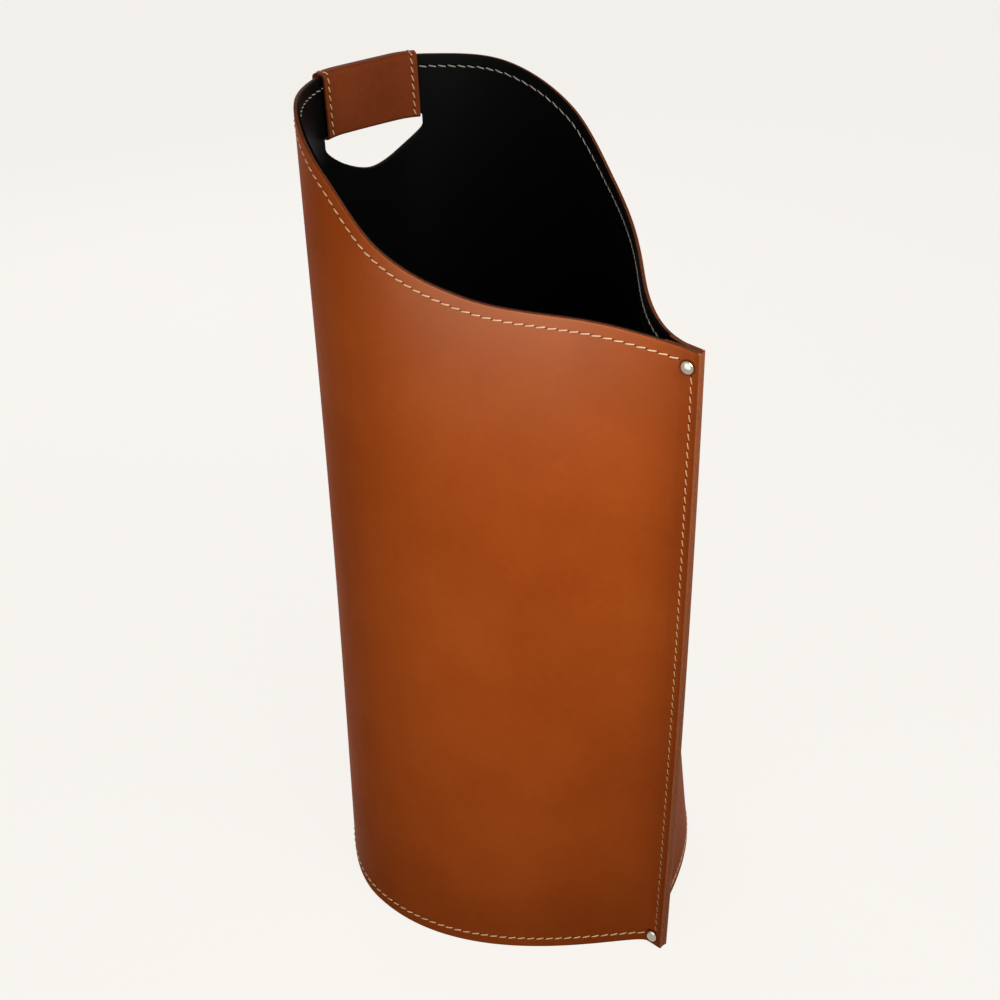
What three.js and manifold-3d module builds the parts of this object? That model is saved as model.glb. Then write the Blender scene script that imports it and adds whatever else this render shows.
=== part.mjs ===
// A leather bag for wood pellets: one tall two-ply wall, cognac leather outside and black inside,
// is wrapped round a stiff base and closed by a flat stitched seam at the front. The rim falls from
// the handle at the back to the seam, and the handle is a sleeve over the strip above a hand hole.
// Millimetres, +Z up. The seam is at the front, towards -Y, and the handle at the back, towards +Y.
// A "run" is a distance along the wall from the middle of the back, positive towards +X.
// A "depth" is a distance inwards from the wall's outer face.
import * as THREE from "three";
import { mergeVertices } from "three/addons/utils/BufferGeometryUtils.js";
import Module from "manifold-3d";

// Height of the rim at the handle and at the seam, and how the rim falls between them
const handleHeight = 590;
const seamHeight = 500;
const rimRunShares = [0, 0.12, 0.25, 0.38, 0.5, 0.65, 0.86, 1];
const rimFallShares = [0, 0.004, 0.03, 0.28, 0.67, 0.87, 0.9, 1];

// Outline of the outer face on the floor, measured from the seam's edge
const foot = {
  width: 279,
  depth: 324,
  widestDepth: 176,
  backFlat: 0,
  backRoundShare: 0.42,
  sideReachShare: 0.69,
  rootReachShare: 0.08,
  seamTurn: 9,
  forward: 0,
};
// Outline at the height of the handle: drawn in at the sides, held flat at the back by the handle and
// set a little forward
const mouth = {
  width: 214,
  depth: 366,
  widestDepth: 256,
  backFlat: 48,
  backRoundShare: 0.48,
  sideReachShare: 0.41,
  rootReachShare: 0.26,
  seamTurn: 24,
  forward: 4,
};

// Seam: the flat lip where both walls lie face to face, and how far its edge bows out
const lipLength = 12;
const seamBow = 2.5;
const seamBowStartShare = 0.6;

// Leathers, and the gap that is left between neighbouring pieces
const outerLeather = 2.4;
const liningLeather = 1.5;
const gap = 0.3;
const liningLift = 0.5;

// Base: a leather panel with a turned-down edge, a stiff board and a lining
const baseLeather = 2.2;
const baseTop = 17;
const baseEdgeLift = 1;
const boardThickness = 3;
const baseLiningThickness = 1.5;
const baseNoseWidth = 6;

// Hand hole through both plies, and the strip of wall above it that the sleeve covers
const handleRun = 0;
const handHoleWidth = 91;
const handHoleHeight = 33.5;
const handHoleShoulder = 9;
const handHoleCorner = 1.5;
const handHoleBottomShare = 0.37;
const stripHeight = 43.5;

// Handle sleeve, folded over the rim and through the hand hole
const sleeveWidth = 87;
const sleeveLeather = 2;
const sleeveRoom = 1.4;
const sleeveCorner = 3.5;
const sleeveStitchInset = 5;

// Saddle stitching
const stitchPitch = 7;
const stitchBreak = 1.4;
const stitchLean = 0.35;
const threadWidth = 0.9;
const threadHeight = 0.7;
const threadStandoff = 0.35;
const rimStitchInset = 8.5;
const seamStitchInset = 5;
const baseStitchHeight = 8;

// Rivets at both ends of the seam
const rivetInset = 8;
const topRivetDrop = 10.5;
const bottomRivetHeight = 9;
const rivetHeadRadius = 4.75;
const rivetDomeHeight = 2.2;
const rivetRim = 0.5;
const rivetBackHeight = 1.1;
const rivetBackFlatShare = 0.75;
const rivetShankRadius = 1.6;
const rivetSocketDepth = 1.4;
const rivetClearance = 0.3;

// Fineness of the facets
const columnPitch = 9.7;
const foldLength = 30;
const foldColumns = 10;
const wallRows = 3;
const holeSteps = 7;
const sleeveCornerSteps = 2;
const foldedStitchSteps = 4;
const roundSteps = 20;
const domeSteps = 4;
const probe = 0.5;
const overrun = 3;

const wallThickness = outerLeather + gap + liningLeather;
const seamHalfThickness = wallThickness + gap / 2;
const insideDepth = wallThickness + gap;
const boardBottom = baseTop + gap;
const baseLiningBottom = boardBottom + boardThickness + gap;
const baseStackTop = baseLiningBottom + baseLiningThickness;
const leftSide = -1;
const rightSide = 1;

const leather = { color: 0xa8592c, roughness: 0.5, metalness: 0 };
const blackLeather = { color: 0x141414, roughness: 0.45, metalness: 0 };
const fibreBoard = { color: 0x8a6a48, roughness: 0.9, metalness: 0 };
const linenThread = { color: 0xe6d3b1, roughness: 0.8, metalness: 0 };
const nickel = { color: 0xc9c6c0, roughness: 0.2, metalness: 1 };

const wasm = await Module();
wasm.setup();

const bag = new THREE.Group();

function addPiece(name, geometry, finish) {
  const mesh = new THREE.Mesh(geometry, new THREE.MeshStandardMaterial(finish));
  mesh.name = name;
  bag.add(mesh);
  return mesh;
}

// Half of a level outline of the outer face, from the middle of the back to the seam's edge
function halfOutline(level, side) {
  const turn = THREE.MathUtils.degToRad(level.seamTurn);
  const along = new THREE.Vector2(Math.sin(turn), -Math.cos(turn));
  const across = new THREE.Vector2(Math.cos(turn), Math.sin(turn)).multiplyScalar(side);
  const shift = new THREE.Vector2(0, -level.forward);
  const halfWidth = (side * level.width) / 2;
  const halfFlat = (side * level.backFlat) / 2;
  const sideLength = level.widestDepth - lipLength;
  const backLength = level.depth - level.widestDepth;

  const back = new THREE.Vector2(0, level.depth).add(shift);
  const flatEnd = new THREE.Vector2(halfFlat, 0).add(back);
  const widest = new THREE.Vector2(halfWidth, level.widestDepth).add(shift);
  const root = new THREE.Vector2(0, lipLength).add(shift).addScaledVector(across, seamHalfThickness);
  const edge = root.clone().addScaledVector(along, lipLength);

  const backHandle = new THREE.Vector2((halfWidth - halfFlat) * level.backRoundShare, 0).add(flatEnd);
  const shoulderHandle = new THREE.Vector2(0, backLength * level.backRoundShare).add(widest);
  const sideHandle = new THREE.Vector2(0, -sideLength * level.sideReachShare).add(widest);
  const rootHandle = root.clone().addScaledVector(along, -sideLength * level.rootReachShare);

  const outline = new THREE.CurvePath();
  outline.add(new THREE.LineCurve(back, flatEnd));
  outline.add(new THREE.CubicBezierCurve(flatEnd, backHandle, shoulderHandle, widest));
  outline.add(new THREE.CubicBezierCurve(widest, sideHandle, rootHandle, root));
  outline.add(new THREE.LineCurve(root, edge));
  return outline;
}

const footOutlines = new Map([leftSide, rightSide].map((side) => [side, halfOutline(foot, side)]));
const mouthOutlines = new Map([leftSide, rightSide].map((side) => [side, halfOutline(mouth, side)]));
const outlineLengths = [...footOutlines.values(), ...mouthOutlines.values()].map((one) => one.getLength());
const halfRun = outlineLengths.reduce((sum, length) => sum + length) / outlineLengths.length;

// Where a run and a height lie on the outer face, seen from above
function planPoint(run, height) {
  const side = run < 0 ? leftSide : rightSide;
  const share = Math.min(Math.abs(run) / halfRun, 1);
  const low = footOutlines.get(side).getPoint(share);
  const high = mouthOutlines.get(side).getPoint(share);
  const point = low.lerp(high, height / handleHeight);
  const level = THREE.MathUtils.clamp(height / seamHeight, 0, 1);
  const bowShare = 4 * level * (1 - level) * THREE.MathUtils.smoothstep(share, seamBowStartShare, 1);
  point.y -= seamBow * bowShare;
  return point;
}

// The level direction that points out of the wall
function wallNormal(run, height) {
  const before = planPoint(Math.max(run - probe, -halfRun), height);
  const after = planPoint(Math.min(run + probe, halfRun), height);
  const step = after.sub(before).normalize();
  return new THREE.Vector3(-step.y, step.x, 0);
}

function wallPoint(run, height, depth) {
  const plan = planPoint(run, height);
  return new THREE.Vector3(plan.x, plan.y, height).addScaledVector(wallNormal(run, height), -depth);
}

const rimFall = new THREE.CubicInterpolant(rimRunShares, rimFallShares, 1, [0]);
rimFall.settings = { endingStart: THREE.ZeroSlopeEnding, endingEnd: THREE.ZeroCurvatureEnding };

function rimHeight(run) {
  const share = Math.min(Math.abs(run) / halfRun, 1);
  return handleHeight - (handleHeight - seamHeight) * rimFall.evaluate(share)[0];
}

// The furthest run from the back at which the two sides are still some room apart
function closingRun(height, depth, room) {
  let run = halfRun;
  while (wallPoint(run, height, depth).distanceTo(wallPoint(-run, height, depth)) < room) {
    run -= probe;
  }
  return run;
}

// Runs of the wall's facets: the lip, then close steps round the fold behind it, then even ones
function columnRuns() {
  const lipRun = halfRun - lipLength;
  const foldRun = lipRun - foldLength;
  const evenColumns = Math.ceil(foldRun / columnPitch);
  const runs = [0];
  for (let column = 1; column < evenColumns; column += 1) {
    runs.push((foldRun * column) / evenColumns);
  }
  for (let column = foldColumns; column >= 0; column -= 1) {
    runs.push(lipRun - foldLength * (column / foldColumns) ** 2);
  }
  runs.push(halfRun);
  const mirrored = runs.slice(1).map((run) => -run);
  return [...mirrored.reverse(), ...runs];
}

const columns = columnRuns();

// Triangles across a long thin ring, from its first point and its last towards its middle
function ladderCap(ring) {
  const faces = [];
  for (let i = 0, j = ring.length - 1; i < j; i += 1, j -= 1) {
    faces.push([i, i + 1, j]);
    faces.push([i + 1, j - 1, j]);
  }
  return faces;
}

// Triangles across a level ring of any outline
function levelCap(ring) {
  const flat = ring.map((point) => new THREE.Vector2(point.x, point.y));
  return THREE.ShapeUtils.triangulateShape(flat, []);
}

// The two triangles between a step of one ring and the same step of the next. The far half of a ring
// takes the other diagonal, so that both faces of a sheet are creased alike.
function bandFaces(here, next, i, size) {
  const j = (i + 1) % size;
  if (i < size / 2) {
    return [[here + i, here + j, next + j], [here + i, next + j, next + i]];
  }
  return [[here + i, here + j, next + i], [here + j, next + j, next + i]];
}

// A closed solid through rings of points, each ring anticlockwise when the next one lies towards the eye
function loft(rings, cap) {
  const size = rings[0].length;
  const faces = [];
  const bands = cap ? rings.length - 1 : rings.length;
  for (let band = 0; band < bands; band += 1) {
    const next = (band + 1) % rings.length;
    for (let i = 0; i < size; i += 1) {
      faces.push(...bandFaces(band * size, next * size, i, size));
    }
  }
  if (cap) {
    const last = (rings.length - 1) * size;
    cap(rings[0]).forEach(([a, b, c]) => faces.push([a, c, b]));
    cap(rings[rings.length - 1]).forEach(([a, b, c]) => faces.push([last + a, last + b, last + c]));
  }
  const whole = faces.filter(([a, b, c]) => a !== b && b !== c && c !== a);
  const geometry = new THREE.BufferGeometry().setFromPoints(rings.flat());
  geometry.setIndex(whole.flat());
  geometry.computeVertexNormals();
  return geometry;
}

function toSolid(geometry) {
  const bare = geometry.clone();
  bare.deleteAttribute("normal");
  bare.deleteAttribute("uv");
  const merged = mergeVertices(bare);
  return new wasm.Manifold(
    new wasm.Mesh({
      numProp: 3,
      vertProperties: merged.attributes.position.array,
      triVerts: new Uint32Array(merged.index.array),
    }),
  );
}

function toGeometry(solid) {
  const mesh = solid.getMesh();
  const geometry = new THREE.BufferGeometry();
  geometry.setAttribute("position", new THREE.BufferAttribute(mesh.vertProperties, mesh.numProp));
  geometry.setIndex(new THREE.BufferAttribute(mesh.triVerts, 1));
  geometry.computeVertexNormals();
  return geometry;
}

function cut(geometry, cutters) {
  return toGeometry(cutters.reduce((solid, cutter) => solid.subtract(toSolid(cutter)), toSolid(geometry)));
}

// One ply of the wall, from its lower edge to the rim, between two depths
function plyGeometry(lowerEdge, outerDepth, innerDepth) {
  const rings = columns.map((run) => {
    const heights = [lowerEdge];
    for (let row = 0; row <= wallRows; row += 1) {
      heights.push(THREE.MathUtils.lerp(baseStackTop, rimHeight(run), row / wallRows));
    }
    const outer = heights.map((height) => wallPoint(run, height, outerDepth));
    const inner = heights.map((height) => wallPoint(run, height, innerDepth));
    return [...outer, ...inner.reverse()];
  });
  return loft(rings, ladderCap);
}

// The hand hole's outline as runs and heights, anticlockwise as seen from the front
function handHoleOutline() {
  const half = handHoleWidth / 2;
  const top = handleHeight - stripHeight;
  const shoulder = top - handHoleShoulder;
  const bottom = top - handHoleHeight;
  const reach = half * handHoleBottomShare;
  const ease = handHoleShoulder * handHoleBottomShare;
  const path = new THREE.Path();
  path.moveTo(-half, shoulder);
  path.bezierCurveTo(-half, shoulder - ease, -reach, bottom, 0, bottom);
  path.bezierCurveTo(reach, bottom, half, shoulder - ease, half, shoulder);
  path.lineTo(half, top - handHoleCorner);
  path.quadraticCurveTo(half, top, half - handHoleCorner, top);
  const topSteps = Math.ceil(handHoleWidth / columnPitch);
  for (let step = 1; step <= topSteps; step += 1) {
    path.lineTo((half - handHoleCorner) * (1 - (2 * step) / topSteps), top);
  }
  path.quadraticCurveTo(-half, top, -half, top - handHoleCorner);
  return path.getPoints(holeSteps);
}

// The punch for the hand hole, square to the wall all round. Its flat outer end stands clear of the
// bent wall, which bulges past a chord of the hole by less than half the hole's width.
function handHolePunch() {
  const outline = handHoleOutline();
  const rings = [-handHoleWidth / 2, wallThickness + overrun].map((depth) =>
    outline.map((point) => wallPoint(handleRun + point.x, point.y, depth)),
  );
  return loft(rings, () => THREE.ShapeUtils.triangulateShape(outline, []));
}

// The middle of the seam's lip at a height, and the direction out of its left face
function seamPlace(height) {
  const run = halfRun - rivetInset;
  const left = wallPoint(-run, height, 0);
  const right = wallPoint(run, height, 0);
  const middle = left.clone().lerp(right, 1 / 2);
  return { middle, axis: left.sub(right).normalize() };
}

function setOnSeam(mesh, place) {
  const turn = new THREE.Quaternion().setFromUnitVectors(new THREE.Vector3(0, 1, 0), place.axis);
  mesh.quaternion.copy(turn);
  mesh.position.copy(place.middle);
  mesh.updateMatrix();
}

const rivetPlaces = {
  top: seamPlace(seamHeight - topRivetDrop),
  bottom: seamPlace(bottomRivetHeight),
};

function rivetHole(place) {
  const radius = rivetShankRadius + rivetClearance;
  const length = 2 * (seamHalfThickness + overrun);
  const hole = new THREE.Mesh(new THREE.CylinderGeometry(radius, radius, length, roundSteps / 2));
  setOnSeam(hole, place);
  return hole.geometry.applyMatrix4(hole.matrix);
}

const wallCuts = [handHolePunch(), rivetHole(rivetPlaces.top), rivetHole(rivetPlaces.bottom)];

function addWall() {
  const outer = plyGeometry(0, 0, outerLeather);
  const lining = plyGeometry(liningLift, outerLeather + gap, wallThickness);
  addPiece("outer_shell", cut(outer, wallCuts), leather);
  addPiece("lining_shell", cut(lining, wallCuts), blackLeather);
}

const baseReach = closingRun(baseTop, insideDepth, baseNoseWidth);
const baseColumns = [-baseReach, ...columns.filter((run) => Math.abs(run) < baseReach - probe), baseReach];
const flangeDepth = insideDepth + baseLeather;
const flangeReach = closingRun(baseTop, flangeDepth, baseNoseWidth + 2 * baseLeather);

// A level ring inside the wall, anticlockwise from above, closed by a short nose behind the seam
function insideRing(height, depth, reach) {
  const points = baseColumns.map((run) => wallPoint((run * reach) / baseReach, height, depth));
  return points.reverse();
}

function plateGeometry(bottom, top) {
  return loft([bottom, top].map((height) => insideRing(height, insideDepth, baseReach)), levelCap);
}

function addBase() {
  const panel = loft(
    [
      insideRing(baseTop - baseLeather, flangeDepth, flangeReach),
      insideRing(baseEdgeLift, flangeDepth, flangeReach),
      insideRing(baseEdgeLift, insideDepth, baseReach),
      insideRing(baseTop, insideDepth, baseReach),
    ],
    levelCap,
  );
  addPiece("base_panel", panel, leather);
  addPiece("base_board", plateGeometry(boardBottom, boardBottom + boardThickness), fibreBoard);
  addPiece("base_lining", plateGeometry(baseLiningBottom, baseStackTop), blackLeather);
}

// A closed loop round the handle strip, clockwise, as depths and heights above the strip's lower edge
function sleeveLoop(leatherOutside, corner) {
  const left = -sleeveRoom - leatherOutside;
  const right = wallThickness + sleeveRoom + leatherOutside;
  const below = -gap - leatherOutside;
  const above = stripHeight + gap + leatherOutside;
  const path = new THREE.Path();
  path.absarc(left + corner, above - corner, corner, Math.PI, Math.PI / 2, true);
  path.absarc(right - corner, above - corner, corner, Math.PI / 2, 0, true);
  path.absarc(right - corner, below + corner, corner, 0, -Math.PI / 2, true);
  path.absarc(left + corner, below + corner, corner, -Math.PI / 2, -Math.PI, true);
  return path.getPoints(sleeveCornerSteps);
}

function onStrip(run, place) {
  return wallPoint(run, rimHeight(run) - stripHeight + place.y, place.x);
}

function addSleeve() {
  const outer = sleeveLoop(sleeveLeather, sleeveCorner);
  const inner = sleeveLoop(0, sleeveCorner - sleeveLeather);
  const stations = Math.ceil(sleeveWidth / columnPitch);
  const runs = [];
  for (let station = 0; station <= stations; station += 1) {
    runs.push(handleRun + sleeveWidth * (station / stations - 1 / 2));
  }
  const rings = outer.map((place, i) => {
    const inside = runs.map((run) => onStrip(run, inner[i]));
    const outside = runs.map((run) => onStrip(run, place));
    return [...inside, ...outside.reverse()];
  });
  addPiece("handle_sleeve", loft(rings, null), leather);
}

// A line on a face of the leather: at(t) gives its point and the direction away from the leather
class FaceLine extends THREE.Curve {
  constructor(at) {
    super();
    this.at = at;
  }

  getPoint(t) {
    return this.at(t).point;
  }
}

// One thread along a line: slanted stitches joined by short steps back, three-sided, its tip outwards
function threadGeometry(line, stepsInStitch, lean) {
  const length = line.getLength();
  const count = Math.floor(length / stitchPitch);
  const start = (length - count * stitchPitch + stitchBreak) / 2;
  const rings = [];
  for (let stitch = 0; stitch < count; stitch += 1) {
    for (let step = 0; step <= stepsInStitch; step += 1) {
      const share = step / stepsInStitch;
      const distance = start + stitch * stitchPitch + share * (stitchPitch - stitchBreak);
      rings.push(threadRing(line, line.getUtoTmapping(0, distance), lean * (2 * share - 1)));
    }
  }
  return loft(rings, ladderCap);
}

// A thread's three-cornered section, leaning to one side of its line
function threadRing(line, t, lean) {
  const { point, out } = line.at(t);
  const side = new THREE.Vector3().crossVectors(out, line.getTangent(t)).normalize();
  const place = (across, away) =>
    point.clone().addScaledVector(side, across + lean).addScaledVector(out, threadStandoff + away);
  return [place(-threadWidth / 2, 0), place(threadWidth / 2, 0), place(0, threadHeight)];
}

// A line along the wall between two runs, at the height that a rule gives for each run
function wallLine(fromRun, toRun, heightAt, depth) {
  const outwards = depth > 0 ? -1 : 1;
  return new FaceLine((t) => {
    const run = THREE.MathUtils.lerp(fromRun, toRun, t);
    const height = heightAt(run);
    return {
      point: wallPoint(run, height, depth),
      out: wallNormal(run, height).multiplyScalar(outwards),
    };
  });
}

// The rim's stitches keep their distance square to the rim, also where it slopes
function rimStitchHeight(run) {
  const before = Math.max(Math.abs(run) - probe, 0);
  const slope = (rimHeight(before) - rimHeight(Math.abs(run) + probe)) / (2 * probe);
  return rimHeight(run) - rimStitchInset * Math.hypot(1, slope);
}

const threadRoom = 2 * (threadStandoff + threadHeight + gap);

function addRimThreads() {
  const outsideReach = halfRun - rivetInset - rivetHeadRadius - stitchBreak;
  const insideReach = closingRun(seamHeight - rimStitchInset, wallThickness, threadRoom);
  const outside = wallLine(-outsideReach, outsideReach, rimStitchHeight, 0);
  const inside = wallLine(-insideReach, insideReach, rimStitchHeight, wallThickness);
  addPiece("rim_thread_outside", threadGeometry(outside, 1, stitchLean), linenThread);
  addPiece("rim_thread_inside", threadGeometry(inside, 1, -stitchLean), linenThread);
}

function addBaseThreads() {
  const height = () => baseStitchHeight;
  const outsideReach = halfRun - rivetInset - rivetHeadRadius - stitchBreak;
  const insideReach = flangeReach - baseLeather - threadRoom;
  const outside = wallLine(-outsideReach, outsideReach, height, 0);
  const inside = wallLine(-insideReach, insideReach, height, flangeDepth);
  addPiece("base_thread_outside", threadGeometry(outside, 1, stitchLean), linenThread);
  addPiece("base_thread_inside", threadGeometry(inside, 1, -stitchLean), linenThread);
}

function addSeamThreads() {
  const bottom = bottomRivetHeight + rivetHeadRadius;
  const top = seamHeight - topRivetDrop - rivetHeadRadius;
  for (const [name, side] of [["left", leftSide], ["right", rightSide]]) {
    const run = side * (halfRun - seamStitchInset);
    const line = new FaceLine((t) => {
      const height = THREE.MathUtils.lerp(bottom, top, t);
      return { point: wallPoint(run, height, 0), out: wallNormal(run, height) };
    });
    addPiece("seam_thread_" + name, threadGeometry(line, 1, -side * stitchLean), linenThread);
  }
}

// The way over the sleeve, from its lower edge inside the bag to its lower edge outside
function overSleeve() {
  const loop = sleeveLoop(sleeveLeather, sleeveCorner);
  const upperHalf = loop.slice(0, loop.length / 2).reverse();
  const places = [loop[loop.length / 2], ...upperHalf, loop[loop.length - 1]];
  const route = new THREE.CurvePath();
  for (let i = 1; i < places.length; i += 1) {
    route.add(new THREE.LineCurve(places[i - 1], places[i]));
  }
  return route;
}

function addHandleThreads() {
  const route = overSleeve();
  for (const [name, side] of [["left", leftSide], ["right", rightSide]]) {
    const run = handleRun + side * (sleeveWidth / 2 - sleeveStitchInset);
    const line = new FaceLine((t) => {
      const step = route.getTangent(t);
      const out = wallNormal(run, handleHeight).multiplyScalar(-step.y);
      out.z = -step.x;
      return { point: onStrip(run, route.getPoint(t)), out: out.normalize() };
    });
    addPiece("handle_thread_" + name, threadGeometry(line, foldedStitchSteps, stitchLean), linenThread);
  }
}

// A head, a socket or a shank turned about the axis, its profile from the axis round to the axis
function turned(profile) {
  return new THREE.LatheGeometry(profile.map(([radius, along]) => new THREE.Vector2(radius, along)), roundSteps);
}

function rivetCapGeometry() {
  const seat = seamHalfThickness + gap;
  const socket = rivetShankRadius + rivetClearance;
  const dome = [];
  for (let step = 0; step <= domeSteps; step += 1) {
    const angle = (Math.PI / 2) * (step / domeSteps);
    dome.push([rivetHeadRadius * Math.cos(angle), seat + rivetRim + rivetDomeHeight * Math.sin(angle)]);
  }
  dome[domeSteps][0] = 0;
  return turned([[0, seat + rivetSocketDepth], [socket, seat + rivetSocketDepth], [socket, seat],
    [rivetHeadRadius, seat], ...dome]);
}

function rivetPostGeometry() {
  const seat = -(seamHalfThickness + gap);
  const back = seat - rivetRim - rivetBackHeight;
  const tip = -seat + rivetSocketDepth - gap;
  return turned([[0, back], [rivetHeadRadius * rivetBackFlatShare, back], [rivetHeadRadius, seat - rivetRim],
    [rivetHeadRadius, seat], [rivetShankRadius, seat], [rivetShankRadius, tip], [0, tip]]);
}

function addRivets() {
  for (const [name, place] of Object.entries(rivetPlaces)) {
    setOnSeam(addPiece(name + "_rivet_cap", rivetCapGeometry(), nickel), place);
    setOnSeam(addPiece(name + "_rivet_post", rivetPostGeometry(), nickel), place);
  }
}

addWall();
addBase();
addSleeve();
addRimThreads();
addSeamThreads();
addBaseThreads();
addHandleThreads();
addRivets();

// The part stands with the middle of its outer box over the origin
const box = new THREE.Box3().setFromObject(bag, true);
const middle = box.getCenter(new THREE.Vector3());
bag.position.set(-middle.x, -middle.y, -box.min.z);

export default bag;
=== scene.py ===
"""A leather bag for wood pellets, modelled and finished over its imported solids.

Each leather piece starts as a flat blank, as it is cut on a bench. Its edges are rounded and its wall
is made while it is flat, and then it is bent into the bag. On a blank, x is the run along the wall
from the middle of the back, y the height above the floor and z the depth inwards from the outer face.
"""
import logging
import math
from bisect import bisect_left, bisect_right
from collections.abc import Callable, Iterable
from dataclasses import dataclass, field, replace
from enum import Enum, IntEnum
from functools import cached_property, partial
from itertools import accumulate, pairwise

import bmesh
import bpy
from bmesh.types import BMEdge, BMesh, BMVert
from bpy.types import Material, Node, NodeSocket, NodeTree, World
from mathutils import Matrix, Vector
from mathutils.geometry import interpolate_bezier


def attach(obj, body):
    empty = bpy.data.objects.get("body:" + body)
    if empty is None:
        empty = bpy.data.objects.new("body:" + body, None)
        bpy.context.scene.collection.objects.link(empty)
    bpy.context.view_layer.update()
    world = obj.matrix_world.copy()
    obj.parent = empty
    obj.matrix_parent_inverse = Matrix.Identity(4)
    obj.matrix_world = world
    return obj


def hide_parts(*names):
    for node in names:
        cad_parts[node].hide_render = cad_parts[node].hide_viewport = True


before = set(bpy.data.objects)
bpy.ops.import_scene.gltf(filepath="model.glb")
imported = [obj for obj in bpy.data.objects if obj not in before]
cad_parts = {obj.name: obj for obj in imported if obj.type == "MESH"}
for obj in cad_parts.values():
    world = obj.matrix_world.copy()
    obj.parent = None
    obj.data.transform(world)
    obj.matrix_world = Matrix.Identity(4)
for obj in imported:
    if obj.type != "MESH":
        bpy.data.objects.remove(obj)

LOG = logging.getLogger("pellet_bag")
MM = 0.001
STITCH_PITCH = 7 * MM
STITCH_OPENING = 0.8 * MM
UP = Vector((0.0, 0.0, 1.0))
# Points closer than this along an axis are level with each other
LEVEL_WITHIN = 1e-6
# A face is turned to an axis when its normal has more than this along it
TURNED = 0.5

MakeNode = Callable[..., Node]
Value = Node | float
StitchPlace = tuple[Vector, Vector, Vector]


class Side(IntEnum):
    """The side of the seam, as the sign of a run."""

    LEFT = -1
    RIGHT = 1


class Slot(Enum):
    """The record's material slots that the new pieces belong to."""

    COGNAC = "cognac_leather"
    HANDLE = "handle_leather"
    BLACK = "black_leather"
    THREAD = "waxed_thread"
    NICKEL = "nickel"


class WallPart(IntEnum):
    """The parts of a ply that have a finish each, as the faces' material numbers."""

    FACE = 0
    EDGE = 1
    HOLE_EDGE = 2
    SEAM_EDGE = 3
    TIP_EDGE = 4


# Shape of the wall


class MeasuredLine:
    """A line through points, read by a share of its length or by the distance along it."""

    def __init__(self, points: list[Vector]) -> None:
        """Measure the line.

        Args:
            points: The line's points in order.
        """
        self.points = points
        steps = ((after - before).length for before, after in pairwise(points))
        self.distances = list(accumulate(steps, initial=0.0))

    @property
    def length(self) -> float:
        """The line's whole length."""
        return self.distances[-1]

    def at_distance(self, distance: float) -> Vector:
        """Find the point at a distance along the line.

        Args:
            distance: Distance from the line's start.

        Returns:
            The point, held to the line's ends.
        """
        index = min(max(bisect_right(self.distances, distance), 1), len(self.points) - 1)
        start, end = self.distances[index - 1], self.distances[index]
        share = (distance - start) / (end - start)
        return self.points[index - 1].lerp(self.points[index], min(max(share, 0.0), 1.0))

    def at(self, share: float) -> Vector:
        """The point at a share of the line's length."""
        return self.at_distance(share * self.length)


@dataclass(frozen=True)
class LevelOutline:
    """The wall's outer face at one height, from above, measured from the seam's edge."""

    width: float
    depth: float
    widest_depth: float
    back_round_share: float
    side_reach_share: float
    root_reach_share: float
    seam_turn: float
    forward: float = 0.0
    back_flat: float = 0.0
    curve_points: int = 240

    def half(self, side: Side, lip: float, half_seam: float) -> MeasuredLine:
        """Draw one half, from the middle of the back to the seam's edge.

        Args:
            side: The half to draw.
            lip: Length of the seam's flat lip.
            half_seam: Distance from the seam's middle to its outer face.

        Returns:
            The half outline.
        """
        turn = math.radians(self.seam_turn)
        along = Vector((math.sin(turn), -math.cos(turn)))
        across = Vector((math.cos(turn), math.sin(turn))) * side
        shift = Vector((0.0, -self.forward))
        half_width = side * self.width / 2
        half_flat = side * self.back_flat / 2
        side_length = self.widest_depth - lip
        back_length = self.depth - self.widest_depth
        back = Vector((0.0, self.depth)) + shift
        widest = Vector((half_width, self.widest_depth)) + shift
        root = Vector((0.0, lip)) + shift + across * half_seam
        flat_end = back + Vector((half_flat, 0.0))
        back_handle = flat_end + Vector(((half_width - half_flat) * self.back_round_share, 0.0))
        shoulder_handle = widest + Vector((0.0, back_length * self.back_round_share))
        side_handle = widest - Vector((0.0, side_length * self.side_reach_share))
        root_handle = root - along * (side_length * self.root_reach_share)
        behind = interpolate_bezier(flat_end, back_handle, shoulder_handle, widest, self.curve_points)
        before = interpolate_bezier(widest, side_handle, root_handle, root, self.curve_points)
        flat = [back] if self.back_flat else []
        return MeasuredLine([*flat, *behind, *before[1:], root + along * lip])


@dataclass(frozen=True)
class RimFall:
    """How far the rim has fallen, as shares of its whole fall, at shares of the half run."""

    run_shares: tuple[float, ...] = (0.0, 0.12, 0.25, 0.38, 0.5, 0.65, 0.86, 1.0)
    fall_shares: tuple[float, ...] = (0.0, 0.004, 0.03, 0.28, 0.67, 0.87, 0.9, 1.0)

    def at(self, share: float) -> float:
        """Read the smooth curve through the shares, level at the back and straight at the seam.

        Args:
            share: Share of the half run.

        Returns:
            Share of the fall.
        """
        runs, falls = self.run_shares, self.fall_shares
        last = len(runs) - 1
        right = min(max(bisect_right(runs, share), 1), last)
        left = right - 1
        start, end = runs[left], runs[right]
        before, before_fall = (runs[left - 1], falls[left - 1]) if left else (2 * start - end, falls[right])
        after, after_fall = (runs[right + 1], falls[right + 1]) if right < last else (start, falls[left])
        half_step = (end - start) / 2
        weight_before = half_step / (start - before)
        weight_after = half_step / (after - end)
        p = (share - start) / (end - start)
        return (
            before_fall * weight_before * (-(p**3) + 2 * p**2 - p)
            + falls[left] * ((1 + weight_before) * p**3 - (1.5 + 2 * weight_before) * p**2
                             + (weight_before - 0.5) * p + 1)
            + falls[right] * (-(1 + weight_after) * p**3 + (1.5 + weight_after) * p**2 + 0.5 * p)
            + after_fall * weight_after * (p**3 - p**2)
        )


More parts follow.
